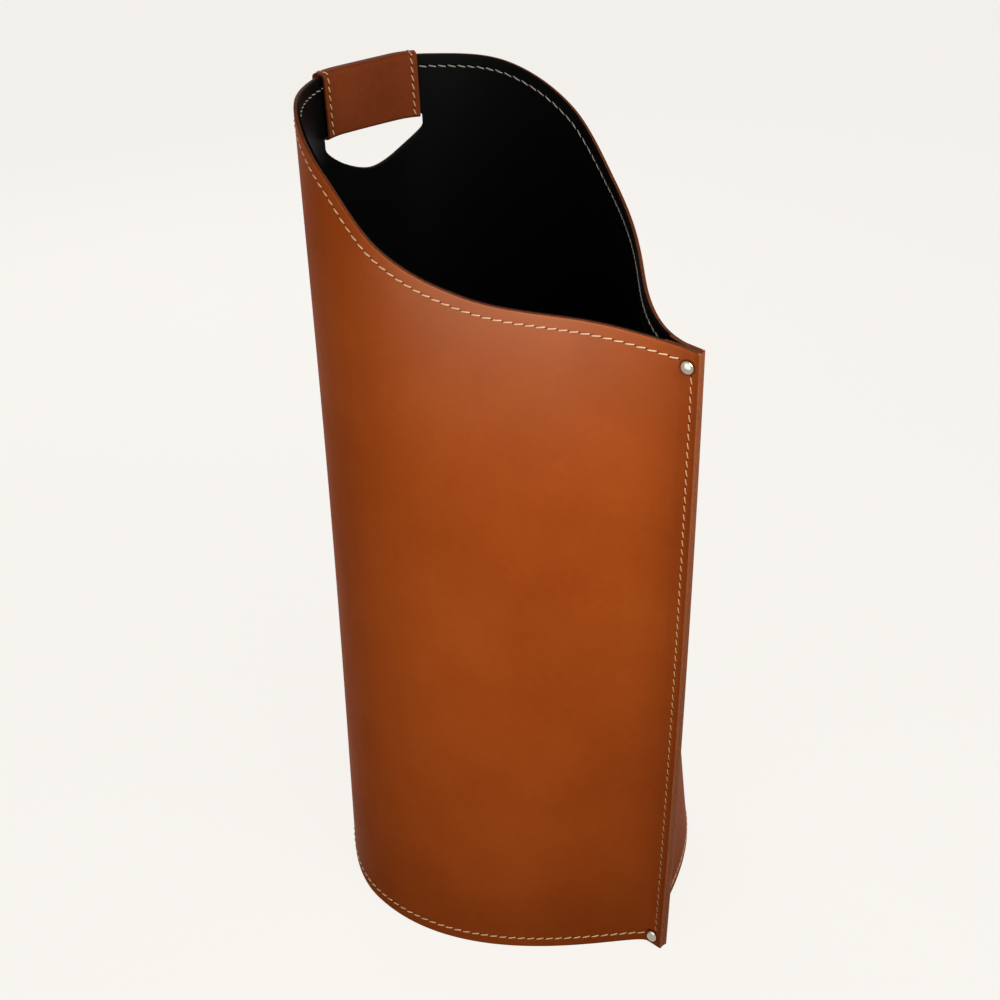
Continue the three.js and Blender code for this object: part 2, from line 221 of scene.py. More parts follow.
@dataclass(frozen=True)
class BagWall:
    """The leather wall's outer face, and every place that is found from it."""

    foot: LevelOutline = LevelOutline(
        width=279 * MM, depth=324 * MM, widest_depth=176 * MM, back_round_share=0.42,
        side_reach_share=0.69, root_reach_share=0.08, seam_turn=9,
    )
    mouth: LevelOutline = LevelOutline(
        width=214 * MM, depth=366 * MM, widest_depth=256 * MM, back_round_share=0.48,
        side_reach_share=0.41, root_reach_share=0.26, seam_turn=24, forward=4 * MM, back_flat=48 * MM,
    )
    handle_height: float = 590 * MM
    seam_height: float = 500 * MM
    rim_fall: RimFall = RimFall()
    lip_length: float = 12 * MM
    seam_bow: float = 2.5 * MM
    seam_bow_start_share: float = 0.6
    outer_leather: float = 2.4 * MM
    lining_leather: float = 1.5 * MM
    gap: float = 0.3 * MM
    middle: Vector = field(default_factory=lambda: Vector((0.013863 * MM, -180.096947 * MM)))
    slack: float = 0.7 * MM
    slack_across: float = 95 * MM
    slack_up: float = 210 * MM
    slack_fade: float = 90 * MM
    slack_quickening: float = 2.3
    probe: float = 0.5 * MM

    @property
    def thickness(self) -> float:
        """Both plies and the gap between them."""
        return self.outer_leather + self.gap + self.lining_leather

    @property
    def half_seam(self) -> float:
        """From the seam's middle to its outer face."""
        return self.thickness + self.gap / 2

    @property
    def inside_depth(self) -> float:
        """Depth at which pieces lie against the lining."""
        return self.thickness + self.gap

    @cached_property
    def halves(self) -> dict[Side, tuple[MeasuredLine, MeasuredLine]]:
        """The foot's and the mouth's half outlines on both sides."""
        levels, ends = (self.foot, self.mouth), (self.lip_length, self.half_seam)
        return {side: tuple(level.half(side, *ends) for level in levels) for side in Side}

    @cached_property
    def half_run(self) -> float:
        """Run from the middle of the back to the seam's edge."""
        lengths = [line.length for pair in self.halves.values() for line in pair]
        return sum(lengths) / len(lengths)

    def plan(self, run: float, height: float) -> Vector:
        """Find a place on the outer face from above.

        Args:
            run: Signed run from the middle of the back.
            height: Height above the floor.

        Returns:
            The place as x and y.
        """
        low, high = self.halves[Side.LEFT if run < 0 else Side.RIGHT]
        share = min(abs(run) / self.half_run, 1.0)
        place = low.at(share).lerp(high.at(share), height / self.handle_height)
        level = min(max(height / self.seam_height, 0.0), 1.0)
        bow = 4 * level * (1 - level) * smooth_step(share, self.seam_bow_start_share, 1.0)
        return place + self.middle - Vector((0.0, self.seam_bow * bow))

    def outward(self, run: float, height: float) -> Vector:
        """Find the level direction out of the wall.

        Args:
            run: Signed run from the middle of the back.
            height: Height above the floor.

        Returns:
            The direction, of length one.
        """
        before = self.plan(max(run - self.probe, -self.half_run), height)
        after = self.plan(min(run + self.probe, self.half_run), height)
        step = (after - before).normalized()
        return Vector((-step.y, step.x, 0.0))

    def hang(self, run: float, height: float) -> float:
        """Find how far the soft wall hangs in or out, which is nothing at the foot and at the seam.

        Args:
            run: Signed run from the middle of the back.
            height: Height above the floor.

        Returns:
            The distance inwards.
        """
        fade = smooth_step(height, 0.0, self.slack_fade)
        fade *= smooth_step(self.half_run - abs(run), self.lip_length, self.lip_length + self.slack_fade)
        wave = math.sin(run / self.slack_across + 2 * height / self.slack_up)
        wave += math.sin(self.slack_quickening * run / self.slack_across - height / self.slack_up)
        return self.slack * fade * wave / 2

    def place(self, run: float, height: float, depth: float) -> Vector:
        """Find a place in the bag.

        Args:
            run: Signed run from the middle of the back.
            height: Height above the floor.
            depth: Depth inwards from the outer face.

        Returns:
            The place in the part's frame.
        """
        plan = self.plan(run, height)
        inwards = depth + self.hang(run, height)
        return Vector((plan.x, plan.y, height)) - self.outward(run, height) * inwards

    def rim(self, run: float) -> float:
        """The rim's height at a run."""
        share = min(abs(run) / self.half_run, 1.0)
        return self.handle_height - (self.handle_height - self.seam_height) * self.rim_fall.at(share)

    def rim_tilt(self, run: float) -> float:
        """Find how much longer the rim is than its run.

        Args:
            run: Signed run from the middle of the back.

        Returns:
            Length of the rim for each length of run.
        """
        before = max(abs(run) - self.probe, 0.0)
        slope = (self.rim(before) - self.rim(abs(run) + self.probe)) / (2 * self.probe)
        return math.hypot(1.0, slope)

    @cached_property
    def rim_way(self) -> tuple[list[float], list[float]]:
        """Runs, and the distances along the rim that belong to them."""
        steps = 900
        runs = [self.half_run * (2 * step / steps - 1) for step in range(steps + 1)]
        lengths = (
            (after - before) * self.rim_tilt((before + after) / 2) for before, after in pairwise(runs)
        )
        return runs, list(accumulate(lengths, initial=0.0))

    def rim_distance(self, run: float) -> float:
        """Distance along the rim from the seam's left edge to a run."""
        return read_table(run, *self.rim_way)

    def run_at_rim(self, distance: float) -> float:
        """The run at a distance along the rim from the seam's left edge."""
        runs, distances = self.rim_way
        return read_table(distance, distances, runs)

    def closing_run(self, height: float, depth: float, room: float) -> float:
        """Find the furthest run at which the two sides are still some room apart.

        Args:
            height: Height above the floor.
            depth: Depth inwards from the outer face.
            room: Distance between the two sides.

        Returns:
            The run.
        """
        run = self.half_run
        while (self.place(run, height, depth) - self.place(-run, height, depth)).length < room:
            run -= self.probe
        return run


def smooth_step(value: float, low: float, high: float) -> float:
    """A smooth rise from 0 at low to 1 at high."""
    share = min(max((value - low) / (high - low), 0.0), 1.0)
    return share * share * (3 - 2 * share)


def read_table(value: float, keys: list[float], values: list[float]) -> float:
    """Read a table between its entries.

    Args:
        value: The key to read at.
        keys: Rising keys.
        values: Values that belong to them.

    Returns:
        The value there, held to the table's ends.
    """
    index = min(max(bisect_left(keys, value), 1), len(keys) - 1)
    share = (value - keys[index - 1]) / (keys[index] - keys[index - 1])
    share = min(max(share, 0.0), 1.0)
    return values[index - 1] + share * (values[index] - values[index - 1])


# Materials


def linear(code: str) -> tuple[float, float, float, float]:
    """Turn an sRGB hex colour to linear red, green, blue and alpha."""
    shares = [int(code[start:start + 2], 16) / 255 for start in (1, 3, 5)]
    return (*(s / 12.92 if s <= 0.04045 else ((s + 0.055) / 1.055) ** 2.4 for s in shares), 1.0)


def add_node(tree: NodeTree, kind: str, inputs: dict | Iterable = (), **settings) -> Node:
    """Add a node with its settings and links.

    Args:
        tree: The node tree.
        kind: The node's type without the word ShaderNode.
        inputs: Values, sockets or nodes, by input name or in the order of the inputs in use.
        **settings: Properties of the node.

    Returns:
        The node. Given as an input to another one, it is linked by its first output in use.
    """
    node = tree.nodes.new("ShaderNode" + kind)
    for name, value in settings.items():
        setattr(node, name, value)
    if isinstance(inputs, dict):
        pairs = [(node.inputs[name], value) for name, value in inputs.items()]
    else:
        pairs = list(zip([socket for socket in node.inputs if socket.enabled], inputs))
    for socket, value in pairs:
        if isinstance(value, Node):
            value = next(output for output in value.outputs if output.enabled)
        if isinstance(value, NodeSocket):
            tree.links.new(value, socket)
        else:
            socket.default_value = value
    return node


def empty_tree(owner: Material | World) -> MakeNode:
    """Clear the nodes of a material or a world.

    Args:
        owner: The material or the world.

    Returns:
        What adds a node to it.
    """
    owner.use_nodes = True
    owner.node_tree.nodes.clear()
    return partial(add_node, owner.node_tree)


class Finish:
    """A material that is made once and shared by the pieces that have it."""

    name: str

    def material(self) -> Material:
        """The finish's material, made when it is first asked for."""
        made = bpy.data.materials.get(self.name)
        if made is None:
            made = bpy.data.materials.new(self.name)
            node = empty_tree(made)
            node("OutputMaterial", {"Surface": self.shade(node)})
        return made

    def shade(self, node: MakeNode) -> Node:
        """Build the finish's nodes and return its shader."""
        raise NotImplementedError


@dataclass(frozen=True)
class StitchRow:
    """Stitches in a row: where the first hole is, and how far apart the holes and the stitches are."""

    start: float
    count: int
    pitch: float = STITCH_PITCH
    opening: float = STITCH_OPENING

    @property
    def end(self) -> float:
        """Distance along the line to the end of the last stitch."""
        return self.start + self.count * self.pitch

    @classmethod
    def fitted(cls, low: float, high: float, pitch: float = STITCH_PITCH,
               opening: float = STITCH_OPENING) -> "StitchRow":
        """Fit whole stitches between two distances along a line.

        Args:
            low: Where the row starts.
            high: Where it ends.
            pitch: Distance between holes, before the row is spaced out to fill the line.
            opening: Distance between the ends of two stitches.

        Returns:
            The row, with what is left over shared by its stitches.
        """
        count = round((high - low) / pitch)
        return cls(low, count, (high - low) / count, opening)


@dataclass(frozen=True)
class StitchLine:
    """A row of stitches as a material sees it.

    The axes name the UV axis along the row and the one across it. A mirrored line is the same on both
    sides of the middle of the back.
    """

    layer: str
    across: float
    row: StitchRow
    axes: str = "XY"
    mirrored: bool = False


@dataclass(frozen=True)
class PaintedLightAndOil:
    """Painted shade, painted sheen and oil on the outer leather.

    Painted shade darkens it towards the seam and the foot, a painted contact shadow darkens the edge of
    its foot and a ring round each rivet, where oil darkens it as well, and a pale painted sheen lies
    under the rim at the front.
    """

    seam_run: float
    rivet_run: float
    rivet_heights: tuple[float, ...]
    rivet_radius: float
    # A pale painted sheen under the rim at the front, which stands in for a reflection
    painted_sheen: str = "#DBAE90"
    painted_sheen_share: float = 0.18
    painted_sheen_drop: float = 190 * MM
    painted_sheen_runs: tuple[float, float] = (190 * MM, 290 * MM)
    painted_sheen_clear: float = 95 * MM
    painted_sheen_fade: float = 3.0
    # Painted contact shadow and oil round the rivets
    rivet_halo: float = 2.2 * MM
    rivet_share: float = 0.85
    # Painted shade towards the seam and on its lip
    seam_band: float = 42 * MM
    seam_share: float = 0.26
    lip_band: float = 9 * MM
    lip_share: float = 0.5
    # Painted shade towards the foot, and painted contact shadow along its very edge
    foot_band: float = 110 * MM
    foot_share: float = 0.24
    foot_edge_band: float = 1.6 * MM
    foot_edge_share: float = 0.6

    def marks(self, node: MakeNode) -> list[Node]:
        """Draw each place of painted shade, painted contact shadow and oil.

        Args:
            node: Adds a node to the material.

        Returns:
            One node for each, which rises from 0 on unmarked leather to the place's share.
        """
        blank = node("SeparateXYZ", [node("UVMap", uv_map="blank")])
        run = node("Math", [blank.outputs["X"]], operation="ABSOLUTE")
        height = blank.outputs["Y"]
        # Painted shade towards the seam and the foot, painted contact shadow along the foot's edge
        ranges = [
            (run, self.seam_run - self.seam_band, self.seam_run, 0.0, self.seam_share),
            (run, self.seam_run - self.lip_band, self.seam_run, 0.0, self.lip_share),
            (height, 0.0, self.foot_band, self.foot_share, 0.0),
            (height, 0.0, self.foot_edge_band, self.foot_edge_share, 0.0),
        ]
        # Painted contact shadow and oil round each rivet
        for rivet_height in self.rivet_heights:
            centre = (self.rivet_run, rivet_height, 0.0)
            away = node("VectorMath", [node("CombineXYZ", [run, height]), centre], operation="DISTANCE")
            rim = self.rivet_radius + self.rivet_halo
            ranges.append((away, self.rivet_radius, rim, self.rivet_share, 0.0))
        return [node("MapRange", values, interpolation_type="SMOOTHSTEP") for values in ranges]

    def painted_sheen_mask(self, node: MakeNode) -> Node:
        """Lay the pale painted sheen under the front rim.

        Args:
            node: Adds a node to the material.

        Returns:
            The painted sheen's share at each place.
        """
        blank = node("SeparateXYZ", [node("UVMap", uv_map="blank")])
        run = node("Math", [blank.outputs["X"]], operation="ABSOLUTE")
        drop = node("SeparateXYZ", [node("UVMap", uv_map="rim")]).outputs["Y"]
        front = node("MapRange", [run, *self.painted_sheen_runs, 0.0, self.painted_sheen_share],
                     interpolation_type="SMOOTHSTEP")
        near_seam = node("MapRange", [run, self.seam_run - self.painted_sheen_clear, self.seam_run, front, 0.0])
        fading = node("MapRange", [drop, 0.0, self.painted_sheen_drop, 1.0, 0.0])
        below_rim = node("Math", [fading, self.painted_sheen_fade], operation="POWER")
        return node("Math", [near_seam, below_rim], operation="MULTIPLY")


@dataclass(frozen=True)
class SmoothLeather(Finish):
    """Vegetable-tanned shoulder leather, drum-dyed and waxed.

    The eye sees one warm colour that clouds a little darker and lighter over a hand's width, a grain
    almost too fine to see and next to no shine; painted shade makes it darker in the holes and grooves
    where it is stitched. The grain is drawn at 1.1 mm, coarser than its real 0.3 mm, so that it shows.
    """

    name: str = "waxed_vegetable_tanned_leather"
    base: str = "#A64B18"
    deep: str = "#9F4615"
    light: str = "#AD501B"
    # Tone of the painted shade in grooves and on the shaded wall, and of the oil round the rivets
    shade_and_oil_tone: str = "#4A1C0A"
    # Painted shade in the stitch holes
    hole: str = "#2A1208"
    roughness: float = 0.55
    roughness_swing: float = 0.04
    specular: float = 0.02
    cloud_range: tuple[float, float] = (0.3, 0.7)
    cloud_size: float = 70 * MM
    cloud_strength: float = 0.8
    mottle_size: float = 5 * MM
    mottle_strength: float = 0.3
    grain_size: float = 1.1 * MM
    grain_depth: float = 0.025 * MM
    crease_size: float = 9 * MM
    crease_depth: float = 0.03 * MM
    groove_half_width: float = 1.5 * MM
    groove_depth: float = 0.2 * MM
    # Share of painted shade in the stitch grooves
    groove_share: float = 0.3
    hole_radius: float = 0.7 * MM
    hole_depth: float = 0.6 * MM
    stitches: tuple[StitchLine, ...] = ()
    wear: PaintedLightAndOil | None = None

    def shade(self, node: MakeNode) -> Node:
        """Build the leather's nodes.

        Args:
            node: Adds a node to the material.

        Returns:
            The leather's shader.
        """
        where = node("TexCoord").outputs["Object"]
        clouds = self.clouds(node, where)
        colour = node("ValToRGB", [clouds])
        ramp = colour.color_ramp
        for element, position, tint in zip(ramp.elements, self.cloud_range, (self.deep, self.light)):
            element.position, element.color = position, linear(tint)
        ramp.elements.new(0.5).color = linear(self.base)
        groove, hole = self.stitch_marks(node)
        # Painted shade in the stitch grooves, with the wall's painted shade, contact shadow and oil
        shade_and_oil_share = node("Math", [groove, self.groove_share], operation="MULTIPLY")
        for mark in self.wear.marks(node) if self.wear else ():
            shade_and_oil_share = node("Math", [shade_and_oil_share, mark], operation="MAXIMUM")
        tone = node("Mix", [shade_and_oil_share, colour, linear(self.shade_and_oil_tone)], data_type="RGBA")
        # A pale painted sheen under the front rim
        if self.wear:
            tone = node("Mix", [self.wear.painted_sheen_mask(node), tone, linear(self.wear.painted_sheen)], data_type="RGBA")
        # Painted shade in the stitch holes
        tone = node("Mix", [hole, tone, linear(self.hole)], data_type="RGBA")
        rough = node("MapRange", [clouds, *self.cloud_range, self.roughness + self.roughness_swing,
                                  self.roughness - self.roughness_swing])
        return node(
            "BsdfPrincipled",
            {"Base Color": tone, "Roughness": rough, "IOR": 1.5, "Specular IOR Level": self.specular,
             "Normal": self.surface(node, where, groove, hole)},
        )

    def clouds(self, node: MakeNode, where: NodeSocket) -> Node:
        """The dye's clouding and mottling, around one half.

        Args:
            node: Adds a node to the material.
            where: The place on the piece.

        Returns:
            The clouding's node.
        """
        total: Value = 0.5 - (self.cloud_strength + self.mottle_strength) / 2
        layers = ((self.cloud_size, self.cloud_strength), (self.mottle_size, self.mottle_strength))
        for size, strength in layers:
            noise = node("TexNoise", {"Vector": where, "Scale": 1 / size, "Detail": 3.0, "Roughness": 0.55})
            total = node("Math", [noise, strength, total], operation="MULTIPLY_ADD")
        return total

    def stitch_marks(self, node: MakeNode) -> tuple[Value, Value]:
        """Draw the grooves that the stitches lie in and the holes that they go through.

        Args:
            node: Adds a node to the material.

        Returns:
            The grooves and the holes, from 0 to 1.
        """
        groove: Value = 0.0
        hole: Value = 0.0
        for line in self.stitches:
            row = line.row
            place = node("SeparateXYZ", [node("UVMap", uv_map=line.layer)])
            along, level = (place.outputs[axis] for axis in line.axes)
            if line.mirrored:
                level = node("Math", [level], operation="ABSOLUTE")
            off_line = node("Math", [level, line.across], operation="SUBTRACT")
            across = node("Math", [off_line], operation="ABSOLUTE")
            middle, reach = (row.start + row.end) / 2, (row.end - row.start) / 2 + self.hole_radius
            inside = node("Math", [along, middle, reach], operation="COMPARE")
            trough = node("MapRange", [across, 0.0, self.groove_half_width, inside, 0.0],
                          interpolation_type="SMOOTHSTEP")
            groove = node("Math", [groove, trough], operation="MAXIMUM")
            step = node("Math", [along, 1 / row.pitch, -row.start / row.pitch], operation="MULTIPLY_ADD")
            from_hole = node("Math", [step, 0.5], operation="PINGPONG")
            away = node("Math", [from_hole, row.pitch], operation="MULTIPLY")
            distance = node("VectorMath", [node("CombineXYZ", [away, across])], operation="LENGTH")
            pit = node("MapRange", [distance, 0.0, self.hole_radius, inside, 0.0],
                       interpolation_type="SMOOTHSTEP")
            hole = node("Math", [hole, pit], operation="MAXIMUM")
        return groove, hole

    def surface(self, node: MakeNode, where: NodeSocket, groove: Value,
                hole: Value) -> Node:
        """Press the stitch marks, the creases and the grain into the surface.

        Args:
            node: Adds a node to the material.
            where: The place on the piece.
            groove: The stitches' grooves.
            hole: The stitches' holes.

        Returns:
            The surface's bump.
        """
        creases = node("TexNoise", {"Vector": where, "Scale": 1 / self.crease_size, "Detail": 2.0})
        grain = node("TexVoronoi", {"Vector": where, "Scale": 1 / self.grain_size}, feature="SMOOTH_F1")
        height: Value = 0.0
        for pattern, depth in ((creases, self.crease_depth), (grain, self.grain_depth),
                               (groove, -self.groove_depth), (hole, -self.hole_depth)):
            height = node("Math", [pattern, depth, height], operation="MULTIPLY_ADD")
        return node("Bump", {"Height": height, "Strength": 1.0, "Distance": 1.0})


@dataclass(frozen=True)
class BurnishedEdge(Finish):
    """A cut leather edge, dyed and burnished with wax until its fibres lie down.

    The eye sees a rounded edge with faint streaks, darker and duller than the face.
    """

    name: str = "burnished_leather_edge"
    colour: str = "#6A3A24"
    streak: str = "#56301E"
    roughness: float = 0.5
    specular: float = 0.005
    streak_size: float = 2.2 * MM
    streak_depth: float = 0.03 * MM

    def shade(self, node: MakeNode) -> Node:
        """Build the edge's nodes.

        Args:
            node: Adds a node to the material.

        Returns:
            The edge's shader.
        """
        where = node("TexCoord").outputs["Object"]
        fibres = node("TexNoise", {"Vector": where, "Scale": 1 / self.streak_size, "Detail": 4.0})
        share = node("MapRange", [fibres, 0.35, 0.7], interpolation_type="SMOOTHSTEP")
        tone = node("Mix", [share, linear(self.colour), linear(self.streak)], data_type="RGBA")
        height = node("Math", [fibres, self.streak_depth], operation="MULTIPLY")
        bump = node("Bump", {"Height": height, "Strength": 1.0, "Distance": 1.0})
        return node(
            "BsdfPrincipled",
            {"Base Color": tone, "Roughness": self.roughness, "IOR": 1.5, "Specular IOR Level": self.specular,
             "Normal": bump},
        )


@dataclass(frozen=True)
class WaxedThread(Finish):
    """Waxed linen thread of three plies.

    The eye sees a cream cord with slanting ridges, dull, with painted shade a little darker between its
    plies. Where it is asked for, the colour is darker towards the foot.
    """

    name: str = "waxed_linen_thread"
    colour: str = "#F7D2AB"
    between: str = "#D09C70"
    foot_tone: str = "#6B4428"
    foot_tone_share: float = 0.0
    foot_tone_reach: float = 420 * MM
    roughness: float = 0.6
    twist_pitch: float = 1.1 * MM
    plies: int = 3
    ply_depth: float = 0.12 * MM

    def shade(self, node: MakeNode) -> Node:
        """Build the thread's nodes.

        Args:
            node: Adds a node to the material.

        Returns:
            The thread's shader.
        """
        place = node("SeparateXYZ", [node("UVMap", uv_map="twist")])
        along = node("Math", [place.outputs["X"], self.twist_pitch], operation="DIVIDE")
        turn = node("Math", [place.outputs["Y"], float(self.plies), along], operation="MULTIPLY_ADD")
        ridge = node("Math", [turn, 0.5], operation="PINGPONG")
        share = node("MapRange", [ridge, 0.05, 0.4], interpolation_type="SMOOTHSTEP")
        # Painted shade: the thread is darker between its plies
        untinted_tone = node("Mix", [share, linear(self.between), linear(self.colour)], data_type="RGBA")
        level = node("SeparateXYZ", [node("TexCoord").outputs["Object"]]).outputs["Z"]
        # The colour is darker towards the foot, by a set share
        toward_foot = node("MapRange", [level, 0.0, self.foot_tone_reach, self.foot_tone_share, 0.0])
        tone = node("Mix", [toward_foot, untinted_tone, linear(self.foot_tone)], data_type="RGBA")
        height = node("Math", [ridge, self.ply_depth], operation="MULTIPLY")
        bump = node("Bump", {"Height": height, "Strength": 1.0, "Distance": 1.0})
        return node(
            "BsdfPrincipled",
            {"Base Color": tone, "Roughness": self.roughness, "Specular IOR Level": 0.3, "Normal": bump},
        )


@dataclass(frozen=True)
class PolishedNickel(Finish):
    """Nickel-plated steel, polished.

    The eye sees a slightly warm grey mirror, dulled by a haze of hairline scratches from use.
    """

    name: str = "polished_nickel_plate"
    colour: str = "#AAA497"
    roughness: float = 0.16
    haze: float = 0.12
    scratch_size: float = 0.9 * MM

    def shade(self, node: MakeNode) -> Node:
        """Build the plating's nodes.

        Args:
            node: Adds a node to the material.

        Returns:
            The plating's shader.
        """
        where = node("TexCoord").outputs["Object"]
        scratches = node("TexNoise", {"Vector": where, "Scale": 1 / self.scratch_size, "Detail": 3.0})
        rough = node("MapRange", [scratches, 0.35, 0.75, self.roughness, self.roughness + self.haze],
                     interpolation_type="SMOOTHSTEP")
        return node("BsdfPrincipled",
                    {"Base Color": linear(self.colour), "Metallic": 1.0, "Roughness": rough})


@dataclass(frozen=True)
class PressedBoard(Finish):
    """Pressed fibreboard.

    The eye sees a dull brown board speckled with light and dark fibres.
    """

    name: str = "pressed_fibreboard"
    colour: str = "#8E6B47"
    fibre: str = "#5E4328"
    fibre_size: float = 3 * MM
    roughness: float = 0.85

    def shade(self, node: MakeNode) -> Node:
        """Build the board's nodes.

        Args:
            node: Adds a node to the material.

        Returns:
            The board's shader.
        """
        where = node("TexCoord").outputs["Object"]
        fibres = node("TexNoise", {"Vector": where, "Scale": 1 / self.fibre_size, "Detail": 6.0})
        share = node("MapRange", [fibres, 0.4, 0.65], interpolation_type="SMOOTHSTEP")
        tone = node("Mix", [share, linear(self.colour), linear(self.fibre)], data_type="RGBA")
        return node("BsdfPrincipled", {"Base Color": tone, "Roughness": self.roughness})


BLACK_DYE = {"base": "#060606", "deep": "#050505", "light": "#070707", "shade_and_oil_tone": "#030303", "hole": "#010101",
             "roughness": 0.45, "specular": 0.05}


@dataclass(frozen=True)
class BagFinishes:
    """Every finish on the bag, before its stitches and its use have marked it."""

    # The warm brown of the whole bag, and the same brown under it
    outer: SmoothLeather = SmoothLeather()
    base: SmoothLeather = SmoothLeather(name="base_leather")
    # Redder and darker, from hands
    sleeve: SmoothLeather = SmoothLeather(
        name="waxed_handle_leather", base="#7E3B1D", deep="#753418", light="#884222", specular=0.008,
    )
    # So dark that only a faint shine shows its curve
    lining: SmoothLeather = SmoothLeather(name="black_lining_leather", **BLACK_DYE)
    base_lining: SmoothLeather = SmoothLeather(name="black_base_leather", **BLACK_DYE)
    # A dark brown line round the leather
    edge: BurnishedEdge = BurnishedEdge()
    # A paler edge with a slight shine, where hands and clothes rub the seam
    seam_edge: BurnishedEdge = BurnishedEdge(
        name="burnished_seam_edge", colour="#A95F38", streak="#94502D", specular=0.06,
    )
    # A cut edge that can't be told from the black leather
    black_edge: BurnishedEdge = BurnishedEdge(
        name="blackened_leather_edge", colour="#0A0706", streak="#060404", specular=0.003,
    )
    # A darker, redder line round the sleeve
    sleeve_edge: BurnishedEdge = BurnishedEdge(
        name="burnished_handle_edge", colour="#62321E", streak="#502816",
    )
    # Clean cream stitches along the rim
    thread: WaxedThread = WaxedThread()
    # Yellower ones at the foot and on the handle
    warm_thread: WaxedThread = WaxedThread(name="yellowed_waxed_thread", colour="#F2C995", between="#BE8D5B")
    # Brownish ones down the seam, darker towards the foot
    seam_stitch_thread: WaxedThread = WaxedThread(
        name="waxed_thread_on_seam", colour="#EAB27F", between="#B48053", foot_tone_share=0.55,
    )
    # A cooler, darker grey copy of the cream thread: painted shade for the dim inside
    lining_thread: WaxedThread = WaxedThread(
        name="waxed_thread_on_lining", colour="#BDB8AC", between="#8F8A7F",
    )
    # A speckled dull brown
    board: PressedBoard = PressedBoard()
    # A small bright mirror
    nickel: PolishedNickel = PolishedNickel()


# Making pieces


def extrude(shape: BMesh, edges: list[BMEdge]) -> tuple[list[BMEdge], list[BMVert]]:
    """Extrude open edges.

    Args:
        shape: The shape.
        edges: Its open edges.

    Returns:
        The copy's open edges and its vertices, which still lie on the first ones.
    """
    made = bmesh.ops.extrude_edge_only(shape, edges=edges)["geom"]
    open_edges = [item for item in made if isinstance(item, BMEdge) and item.is_boundary]
    return open_edges, [item for item in made if isinstance(item, BMVert)]


def round_off(shape: BMesh, edges: list[BMEdge], radius: float, steps: int = 3) -> None:
    """Round edges of a shape to a radius, in a number of steps."""
    bmesh.ops.bevel(shape, geom=edges, offset=radius, segments=steps, profile=0.5, affect="EDGES",
                    material=-1)


def bend(shape: BMesh, place: Callable[[float, float, float], Vector]) -> None:
    """Bend a flat blank by moving each of its points to its place in the bag."""
    for vertex in shape.verts:
        vertex.co = place(*vertex.co)


def set_uv(shape: BMesh, layer_name: str, read: Callable[[Vector], tuple[float, float]]) -> None:
    """Write a UV layer from the points' places on the flat blank.

    Args:
        shape: The blank.
        layer_name: Name of the layer.
        read: Gives the two coordinates of a place on the blank.
    """
    layer = shape.loops.layers.uv.new(layer_name)
    values = {vertex: read(vertex.co) for vertex in shape.verts}
    for face in shape.faces:
        for loop in face.loops:
            loop[layer].uv = values[loop.vert]


def finish_piece(shape: BMesh, name: str, node: str, slot: Slot, finishes: Iterable[Finish],
                 sharp: float = 60.0) -> None:
    """Turn a shape into a finished piece of the bag.

    Args:
        shape: The piece's shape in the part's frame.
        name: The piece's name.
        node: The solid that it stands for.
        slot: Not used.
        finishes: Finishes in the order of the faces' material numbers.
        sharp: Angle in degrees from which an edge is creased.
    """
    mesh = bpy.data.meshes.new(name)
    shape.to_mesh(mesh)
    shape.free()
    mesh.shade_smooth()
    mesh.set_sharp_from_angle(angle=math.radians(sharp))
    for finish in finishes:
        mesh.materials.append(finish.material())
    piece = bpy.data.objects.new(name, mesh)
    bpy.context.scene.collection.objects.link(piece)
    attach(piece, "root")
    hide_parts(node)
    LOG.info("%s: %d faces for %s", name, len(mesh.polygons), node)


@dataclass(frozen=True)
class HandHole:
    """The hand hole through both plies, and the strip of wall above it."""

    run: float = 0.0
    width: float = 91 * MM
    height: float = 33.5 * MM
    shoulder: float = 9 * MM
    corner: float = 1.5 * MM
    bottom_share: float = 0.37
    strip_height: float = 43.5 * MM
    margin: float = 4 * MM
    corner_points: int = 5
    curve_points: int = 40

    def outline(self, top: float) -> tuple[MeasuredLine, MeasuredLine]:
        """Draw the hole on the flat blank.

        Args:
            top: Height of the hole's upper edge.

        Returns:
            The straight upper edge from left to right, and the rest from its right end to its left.
        """
        half, middle = self.width / 2, Vector((self.run, top, 0.0))
        ease_down = self.shoulder * self.bottom_share
        reach = half * self.bottom_share

        def side(sign: int) -> list[Vector]:
            """One side from the corner to the bottom's middle."""
            corner = [Vector((sign * (half - self.corner), 0, 0)), Vector((sign * half, 0, 0)),
                      Vector((sign * half, 0, 0)), Vector((sign * half, -self.corner, 0))]
            fall = [Vector((sign * half, -self.shoulder, 0)),
                    Vector((sign * half, -self.shoulder - ease_down, 0)),
                    Vector((sign * reach, -self.height, 0)), Vector((0, -self.height, 0))]
            rounded = interpolate_bezier(*corner, self.corner_points)
            return rounded + interpolate_bezier(*fall, self.curve_points)

        right, left = side(1), side(-1)
        upper = MeasuredLine([left[0] + middle, right[0] + middle])
        lower = MeasuredLine([point + middle for point in right + left[-2::-1]])
        return upper, lower


